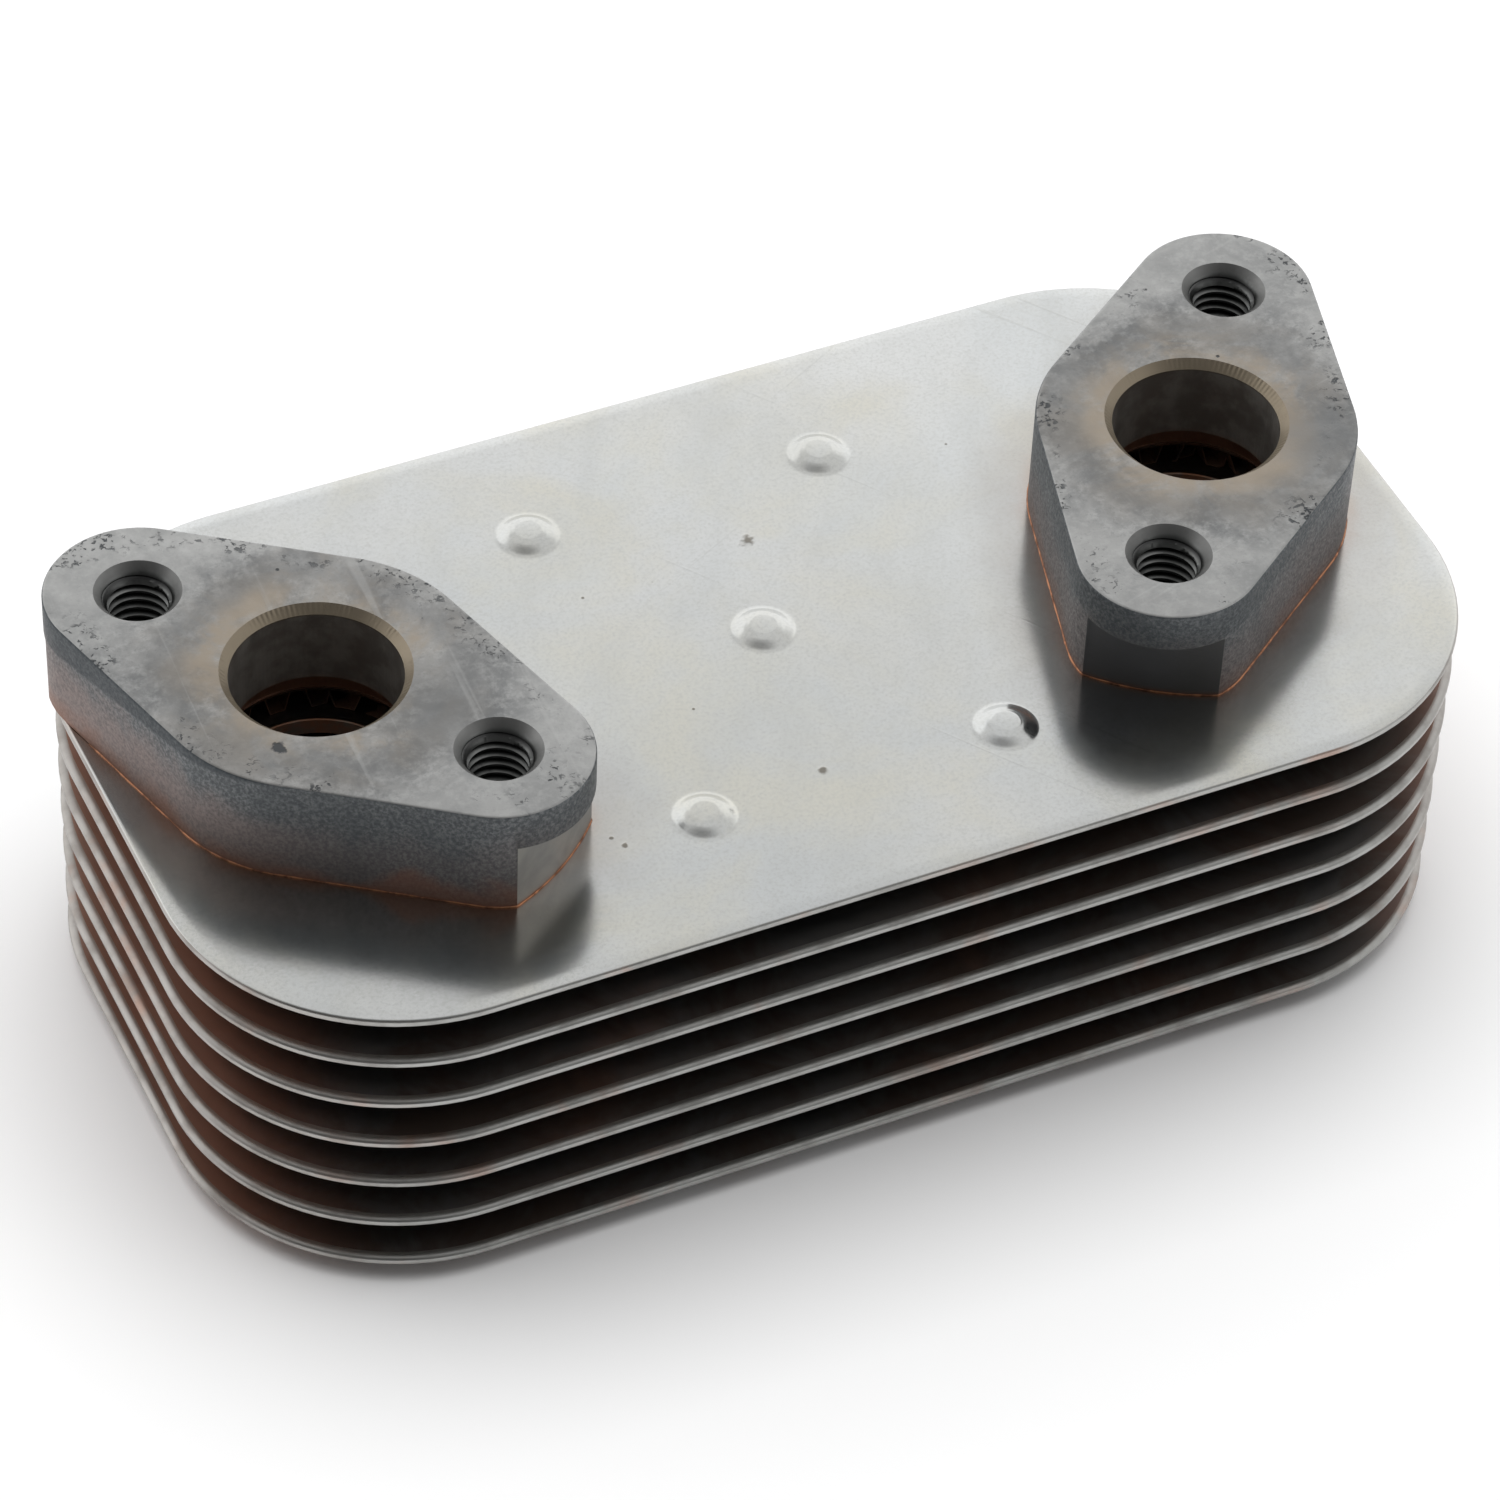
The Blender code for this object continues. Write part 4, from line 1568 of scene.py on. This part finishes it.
@dataclass
class PortFlange:
    """A forged two-bolt flange: machined top, turned ends, chamfered bore and M8 threads."""

    place: FlangePlace
    stack: Stack
    ear_height: float = 4.9 * MM
    top_edge: float = 0.42 * MM
    side_edge: float = 0.08 * MM
    bore_radius: float = 9.7 * MM
    bore_chamfer: float = 0.97 * MM
    counterbore: Point2 = (11.5 * MM, 3.1 * MM)
    thread_pitch: float = 1.25 * MM
    thread_minor: float = 3.325 * MM
    thread_major: float = 4.0 * MM
    thread_depth: float = 11.0 * MM
    mouth_radius: float = 4.95 * MM
    mouth_depth: float = 0.9 * MM
    lead_depth: float = 2.3 * MM
    drill_end: float = 0.3 * MM
    drill_point: float = 1.6 * MM
    bead: float = 0.125 * MM
    bead_end: float = 1.3 * MM
    bead_step: float = 0.7 * MM
    bead_halvings: int = 6
    ripple_size: float = 1.6 * MM
    ripple: float = 0.20 * MM
    hub_steps: int = 96
    ear_steps: int = 72
    relief_reach: float = 12 * MM
    relief_steps: int = 480
    bore_steps: int = 128
    drill_steps: int = 64
    thread_steps: int = 40
    flat_angle: float = math.radians(0.4)
    sharp_angle: float = 0.6
    crisp: float = 32.0
    bead_crisp: float = 60.0
    parts: list[bpy.types.Object] = field(default_factory=list)

    def forging(self) -> bpy.types.Object:
        """Model the solid forging: hub and ears in one skin, with turned ends and broken edges.

        Returns:
            The solid, before its holes are cut.
        """
        place = self.place
        height = place.top - place.foot
        middle = (place.top + place.foot) / 2
        Bench.clear()
        bpy.ops.mesh.primitive_cylinder_add(
            vertices=self.hub_steps,
            radius=place.hub_radius,
            depth=height,
            location=(*place.centre, middle),
        )
        Bench.open_new()
        for bolt in place.bolts():
            bpy.ops.mesh.primitive_cylinder_add(
                vertices=self.ear_steps,
                radius=place.ear_radius,
                depth=height,
                location=(*bolt, middle),
            )
        bpy.ops.mesh.select_all(action="SELECT")
        bpy.ops.mesh.convex_hull(join_triangles=False)
        bpy.ops.mesh.select_all(action="SELECT")
        bpy.ops.mesh.dissolve_limited(angle_limit=self.flat_angle)
        bpy.ops.mesh.select_all(action="SELECT")
        bpy.ops.mesh.normals_make_consistent(inside=False)
        piece = Bench.settle(f"{place.side}_flange")
        underside = place.top - self.ear_height
        inner = place.turned_radius
        outer = inner + self.relief_reach
        low = place.foot - MM
        profile = [(inner, low), (outer, low), (outer, underside), (inner, underside), (inner, low)]
        Bench.cut(piece, Bench.lathe(profile, place.centre, self.relief_steps, "end_relief"))
        Bench.take(piece)
        Bench.edit()
        bpy.ops.mesh.select_all(action="SELECT")
        bpy.ops.mesh.dissolve_limited(angle_limit=self.flat_angle)
        self.break_edges(lambda z: z > place.top - SKIN, self.top_edge, 4)
        below_top = place.top - self.top_edge * 1.2
        self.break_edges(lambda z: place.foot + SKIN < z < below_top, self.side_edge, 2)
        return Bench.settle(piece.name)

    def break_edges(self, wanted: Callable[[float], bool], width: float, steps: int) -> None:
        """Bevel the sharp edges whose middles stand at a wanted height.

        Args:
            wanted: Says whether an edge's mid height is wanted.
            width: The bevel's width.
            steps: Its segments.
        """

        def is_sharp(edge: bmesh.types.BMEdge) -> bool:
            """Return whether an edge is sharp and stands at a wanted height."""
            middle = (edge.verts[0].co.z + edge.verts[1].co.z) / 2
            folded = len(edge.link_faces) == 2 and edge.calc_face_angle(0) > self.sharp_angle
            return folded and wanted(middle)

        Bench.pick(Select.EDGES, is_sharp)
        bpy.ops.mesh.bevel(offset=width, segments=steps, affect="EDGES", clamp_overlap=True)

    def bore_cutter(self) -> bpy.types.Object:
        """Turn the cutter for the bore, its chamfer and its counterbore.

        Returns:
            The closed cutter.
        """
        top, foot = self.place.top, self.place.foot
        over = 0.5 * MM
        chamfer = self.bore_chamfer
        wide, deep = self.counterbore
        ease = 0.15 * MM
        profile = [
            (0.0, top + over),
            (self.bore_radius + chamfer + over, top + over),
            (self.bore_radius, top - chamfer),
            (self.bore_radius, foot + deep + ease),
            (self.bore_radius + ease, foot + deep),
            (wide, foot + deep),
            (wide, foot - over),
            (0.0, foot - over),
        ]
        return Bench.lathe(profile, self.place.centre, self.bore_steps, "bore_cutter")

    def drill(self, centre: Point2) -> bpy.types.Object:
        """Turn the drill with its countersink for one tapped hole.

        Args:
            centre: The hole's place.

        Returns:
            The closed cutter.
        """
        top = self.place.top
        over = 0.4 * MM
        core = self.thread_minor - HAIR
        profile = [
            (0.0, top + over),
            (self.mouth_radius + over, top + over),
            (self.mouth_radius - self.mouth_depth, top - self.mouth_depth),
            (core, top - self.lead_depth),
            (core, top - self.thread_depth - self.drill_end),
            (0.0, top - self.thread_depth - self.drill_point),
        ]
        return Bench.lathe(profile, centre, self.drill_steps, "drill")

    def tap(self, centre: Point2) -> bpy.types.Object:
        """Wind the helical cutter for one tapped hole.

        Args:
            centre: The hole's place.

        Returns:
            The closed cutter.
        """
        pitch = self.thread_pitch
        rise = self.thread_major - self.thread_minor
        flank = rise * math.tan(math.radians(30))
        crest = pitch / 8
        start = (pitch - crest) / 2 - flank
        turns = math.ceil(self.thread_depth / pitch) + 1
        inner, outer = self.thread_minor, self.thread_major
        points = [
            (inner, 0.0, 0.0),
            (inner, 0.0, start),
            (outer, 0.0, start + flank),
            (outer, 0.0, start + flank + crest),
            (inner, 0.0, start + 2 * flank + crest),
            (inner, 0.0, pitch),
        ]
        base = self.place.top - self.thread_depth
        Bench.wire(points, Vector((*centre, base)))
        bpy.ops.object.mode_set(mode="OBJECT")
        Bench.modify(
            "SCREW",
            axis="Z",
            angle=TURN,
            screw_offset=pitch,
            iterations=turns,
            steps=self.thread_steps,
            render_steps=self.thread_steps,
            use_merge_vertices=False,
        )
        Bench.edit()
        bpy.ops.mesh.select_all(action="SELECT")
        bpy.ops.mesh.remove_doubles(threshold=WELD)
        half = turns * pitch / 2
        for is_top in (False, True):
            Bench.pick(
                Select.EDGES,
                lambda e: e.is_boundary and (e.verts[0].co.z > half) == is_top,
            )
            bpy.ops.mesh.extrude_edges_move(TRANSFORM_OT_translate={"value": (0, 0, 0)})
            bpy.ops.mesh.merge(type="CENTER")
        bpy.ops.mesh.select_all(action="SELECT")
        bpy.ops.mesh.normals_make_consistent(inside=False)
        return Bench.settle("tap")

    def foot_wire(self, solid: bpy.types.Object) -> bpy.types.Object:
        """Lift the foot's outline off the solid as a wire, where it stands on the flat plate.

        Args:
            solid: The forging before its holes.

        Returns:
            The wire.
        """
        wire = Bench.copy(solid, f"{self.place.side}_braze_bead", Vector((0, 0, 0)))
        Bench.edit()
        foot = self.place.foot
        Bench.pick(
            Select.FACES,
            lambda f: f.normal.z < -0.99 and abs(f.calc_center_median().z - foot) < HAIR,
        )
        bpy.ops.mesh.select_all(action="INVERT")
        bpy.ops.mesh.delete(type="FACE")
        bpy.ops.mesh.select_all(action="SELECT")
        bpy.ops.mesh.delete(type="ONLY_FACE")
        for _ in range(self.bead_halvings):
            if not Bench.pick(Select.EDGES, lambda e: e.calc_length() > self.bead_step):
                break
            bpy.ops.mesh.subdivide(number_cuts=1)
        if Bench.pick(Select.CORNERS, lambda v: self.stack.inset_of(v.co.x, v.co.y) < self.bead_end):
            bpy.ops.mesh.delete(type="VERT")
        return Bench.settle(wire.name)

    def braze(self, solid: bpy.types.Object) -> bpy.types.Object:
        """Model the uneven bead of braze metal round the foot.

        Args:
            solid: The forging before its holes.

        Returns:
            The bead.
        """
        wire = self.foot_wire(solid)
        Bench.take(wire)
        bpy.ops.object.convert(target="CURVE")
        curve = bpy.context.active_object
        curve.data.bevel_depth = self.bead
        curve.data.bevel_resolution = 2
        curve.data.use_fill_caps = True
        bpy.ops.object.convert(target="MESH")
        Bench.edit()
        Bench.weld()
        bead = Bench.settle(f"{self.place.side}_braze_bead")
        ripple = bpy.data.textures.new(f"{self.place.side}_bead_ripple", "CLOUDS")
        ripple.noise_scale = self.ripple_size
        ripple.noise_depth = 2
        Bench.modify(
            "DISPLACE", texture=ripple, texture_coords="LOCAL", strength=self.ripple, mid_level=0.5
        )
        Bench.smooth(bead, self.bead_crisp)
        return bead

    def build(self) -> None:
        """Model the bead and the flange and cut every hole."""
        piece = self.forging()
        bead = self.braze(piece)
        Bench.cut(piece, self.bore_cutter())
        for bolt in self.place.bolts():
            Bench.cut(piece, self.drill(bolt))
            Bench.cut(piece, self.tap(bolt))
        Bench.smooth(piece, self.crisp)
        self.parts = [piece, bead]

    def skin(self, polygon: bpy.types.MeshPolygon) -> FlangeSkin:
        """Tell a face's finish from its place and the way it looks.

        Args:
            polygon: The face.

        Returns:
            Its finish.
        """
        place = self.place
        middle, normal = polygon.center, polygon.normal
        reach = math.hypot(middle.x - place.centre[0], middle.y - place.centre[1])
        hole = min(math.hypot(middle.x - x, middle.y - y) for x, y in place.bolts())
        clear = min(reach - self.bore_radius - self.bore_chamfer, hole - self.mouth_radius) > 0
        on_edge = normal.z > 0.7 and middle.z > place.top - self.top_edge and clear
        if on_edge or normal.z > 0.999 and middle.z > place.top - SKIN:
            return FlangeSkin.TOP
        above_foot = middle.z > place.foot + SKIN
        if above_foot and reach < self.counterbore[0] + 0.05 * MM:
            return FlangeSkin.BORE
        if above_foot and hole < self.mouth_radius + HAIR:
            return FlangeSkin.THREAD
        low = middle.z < place.top - self.ear_height
        outward = (middle.xy - Vector(place.centre)).normalized().dot(normal.xy)
        if low and abs(reach - place.turned_radius) < 0.1 * MM and outward > 0.97:
            return FlangeSkin.TURNED
        return FlangeSkin.FORGED

    def dress(self, wear: FlangeWearAndShade) -> None:
        """Dress the flange by the place of each face, and the bead in copper.

        Args:
            wear: How this flange has aged, and the painted shade of its turned ends and top face.
        """
        piece, bead = self.parts
        place = self.place
        finishes = {
            FlangeSkin.FORGED: ForgedFinish(place, wear.stained),
            FlangeSkin.TOP: FlangeTopFinish(place, wear.pit, wear.painted_shade_patch),
            FlangeSkin.TURNED: TurnedFinish(place, wear.painted_end_shade),
            FlangeSkin.BORE: BoreFinish(place),
            FlangeSkin.THREAD: ThreadFinish(place),
        }
        materials = [finishes[skin].make() for skin in FlangeSkin]
        Bench.dress(piece, materials, lambda polygon: self.skin(polygon).value)
        hand_over(piece, f"port_flange_{place.side}")
        Bench.dress(bead, [BrazeFinish(f"{place.side}_copper_braze").make()])
        hand_over(bead, f"braze_fillet_{place.side}")


# ------------------------------------------------------------------ studio


def direction(azimuth: float, elevation: float) -> Vector:
    """Return the unit vector towards an azimuth, from the front, and an elevation.

    Args:
        azimuth: Degrees round from the front, towards the right.
        elevation: Degrees above the floor.

    Returns:
        The direction.
    """
    turn, rise = math.radians(azimuth), math.radians(elevation)
    return Vector((math.sin(turn) * math.cos(rise), -math.cos(turn) * math.cos(rise), math.sin(rise)))


@dataclass(frozen=True)
class Softbox:
    """One large soft light that looks at the object."""

    name: str
    azimuth: float
    elevation: float
    distance: float
    size: Point2
    power: float

    def place(self, target: Vector) -> None:
        """Add the light.

        Args:
            target: The point it looks at.
        """
        data = bpy.data.lights.new(self.name, "AREA")
        data.shape = "RECTANGLE"
        data.size, data.size_y = self.size
        data.energy = self.power
        lamp = bpy.data.objects.new(self.name, data)
        bpy.context.scene.collection.objects.link(lamp)
        back = direction(self.azimuth, self.elevation)
        lamp.location = target + back * self.distance
        lamp.rotation_mode = "QUATERNION"
        lamp.rotation_quaternion = back.to_track_quat("Z", "Y")
        lamp.visible_camera = False
        lamp.visible_glossy = False


@dataclass
class Studio:
    """The pale floor, the soft light, the room and the camera."""

    floor_height: float
    floor_size: float = 40.0
    azimuth: float = -26.55
    elevation: float = 44.40
    roll: float = 2.778
    distance: float = 0.7203
    lens: float = 146.2
    sensor: float = 36.0
    clip: tuple[float, float] = (0.05, 50.0)
    target: Vector = field(default_factory=lambda: Vector((3.6 * MM, 9.1 * MM, 13.8 * MM)))
    low_wall: float = 1.32
    high_wall: float = 0.86
    front_wall: float = 0.10
    front_azimuth: float = -35.0
    front_elevation: float = 20.0
    front_ramp: tuple[float, float] = (0.15, 0.85)
    back_ramp: tuple[float, float] = (0.05, 0.5)
    height_ramp: tuple[float, float] = (0.63, 0.715)
    backdrop: float = 1.0
    softboxes: tuple[Softbox, ...] = (
        Softbox("top_softbox", 180, 84, 2.2, (2.6, 2.2), 38),
    )

    def camera(self) -> None:
        """Place the camera at its viewing angle."""
        data = bpy.data.cameras.new("view")
        data.lens = self.lens
        data.sensor_width = self.sensor
        data.sensor_fit = "HORIZONTAL"
        data.clip_start, data.clip_end = self.clip
        camera = bpy.data.objects.new("view", data)
        bpy.context.scene.collection.objects.link(camera)
        turn = math.radians(self.azimuth)
        back = direction(self.azimuth, self.elevation)
        level = Vector((math.cos(turn), math.sin(turn), 0.0))
        upright = back.cross(level)
        tilt = math.radians(self.roll)
        right = level * math.cos(tilt) + upright * math.sin(tilt)
        up = back.cross(right)
        pose = Matrix((right, up, back)).transposed().to_4x4()
        pose.translation = self.target + back * self.distance
        camera.matrix_world = pose
        bpy.context.scene.camera = camera

    def floor(self) -> None:
        """Lay the floor under the object."""
        Bench.clear()
        bpy.ops.mesh.primitive_plane_add(size=self.floor_size, location=(0, 0, self.floor_height))
        piece = Bench.settle("studio_floor")
        Bench.dress(piece, [FloorFinish().make()])

    @staticmethod
    def ramp(
        tree: bpy.types.NodeTree, value: Feed, low: float, high: float, start: float, end: float
    ) -> Feed:
        """Ease a value from start at low to end at high in the room's shader.

        Args:
            tree: The room's node tree.
            value: The value.
            low: Where the change begins.
            high: Where it ends.
            start: The result below low.
            end: The result above high.

        Returns:
            The eased number's socket.
        """
        made = tree.nodes.new("ShaderNodeMapRange")
        made.interpolation_type = "SMOOTHSTEP"
        tree.links.new(value, made.inputs[0])
        for index, number in enumerate((low, high, start, end), start=1):
            made.inputs[index].default_value = number
        return made.outputs[0]

    def light(self) -> None:
        """Light the room: pale walls, brighter low down and dim in front, and the softbox."""
        world = bpy.data.worlds.new("studio_room")
        world.use_nodes = True
        tree = world.node_tree
        link = tree.links.new
        room = tree.nodes["Background"]
        room.inputs["Color"].default_value = (1.0, 1.0, 1.0, 1.0)
        way = tree.nodes.new("ShaderNodeTexCoord").outputs["Generated"]
        height = tree.nodes.new("ShaderNodeSeparateXYZ")
        link(way, height.inputs[0])
        back = self.ramp(tree, height.outputs[1], *self.back_ramp, self.high_wall, self.low_wall)
        low = self.ramp(tree, height.outputs[2], *self.height_ramp, 1.0, 0.0)
        walls = tree.nodes.new("ShaderNodeMix")
        link(low, walls.inputs["Factor"])
        walls.inputs["A"].default_value = self.high_wall
        link(back, walls.inputs["B"])
        facing = tree.nodes.new("ShaderNodeVectorMath")
        facing.operation = "DOT_PRODUCT"
        facing.inputs[1].default_value = direction(self.front_azimuth, self.front_elevation)
        link(way, facing.inputs[0])
        front = self.ramp(tree, facing.outputs["Value"], *self.front_ramp, 0.0, 1.0)
        path = tree.nodes.new("ShaderNodeLightPath").outputs["Is Camera Ray"]
        level = walls.outputs["Result"]
        for share, value in ((front, self.front_wall), (path, self.backdrop)):
            mix = tree.nodes.new("ShaderNodeMix")
            link(share, mix.inputs["Factor"])
            link(level, mix.inputs["A"])
            mix.inputs["B"].default_value = value
            level = mix.outputs["Result"]
        link(level, room.inputs["Strength"])
        bpy.context.scene.world = world
        for softbox in self.softboxes:
            softbox.place(self.target)

    def build(self) -> None:
        """Set up floor, lights, camera and plain colour management."""
        self.camera()
        self.floor()
        self.light()
        bpy.context.scene.view_settings.view_transform = "Standard"
        LOG.info("studio ready")


# ------------------------------------------------------------------ assembly


def flange_places(stack: Stack) -> tuple[FlangePlace, ...]:
    """Read both flanges' places from the frame.

    Args:
        stack: The measured stack.

    Returns:
        The left and right flange places.
    """
    places = []
    for side, slant in SLANTS.items():
        low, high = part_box(f"port_flange_{side}")
        angle = math.radians(slant)
        reach = FlangePlace.bolt_spacing / 2 * math.cos(angle)
        ear = (high.x - low.x) / 2 - reach
        places.append(FlangePlace(side, stack.ports[side], angle, low.z, high.z, ear))
    return tuple(places)


def main() -> None:
    """Build every sub-assembly in order."""
    logging.basicConfig(level=logging.INFO, format="%(name)s: %(message)s")
    stack = Stack.measure(ELEMENTS)
    places = flange_places(stack)
    Studio(floor_height=CAD_BOX[0].z).build()
    PlateStack(stack, places).build()
    PortRings(stack).build(InnerFinish("port_ring").make())
    fin = InnerFinish("fin_sheet", copper=(0.26, 0.14, 0.09), steel=(0.13, 0.11, 0.095))
    Turbulator(stack).build(fin.make())
    for place in places:
        flange = PortFlange(place, stack)
        flange.build()
        flange.dress(WEAR_AND_SHADE[place.side])
    Bench.clear()


if __name__ == "__main__":
    main()
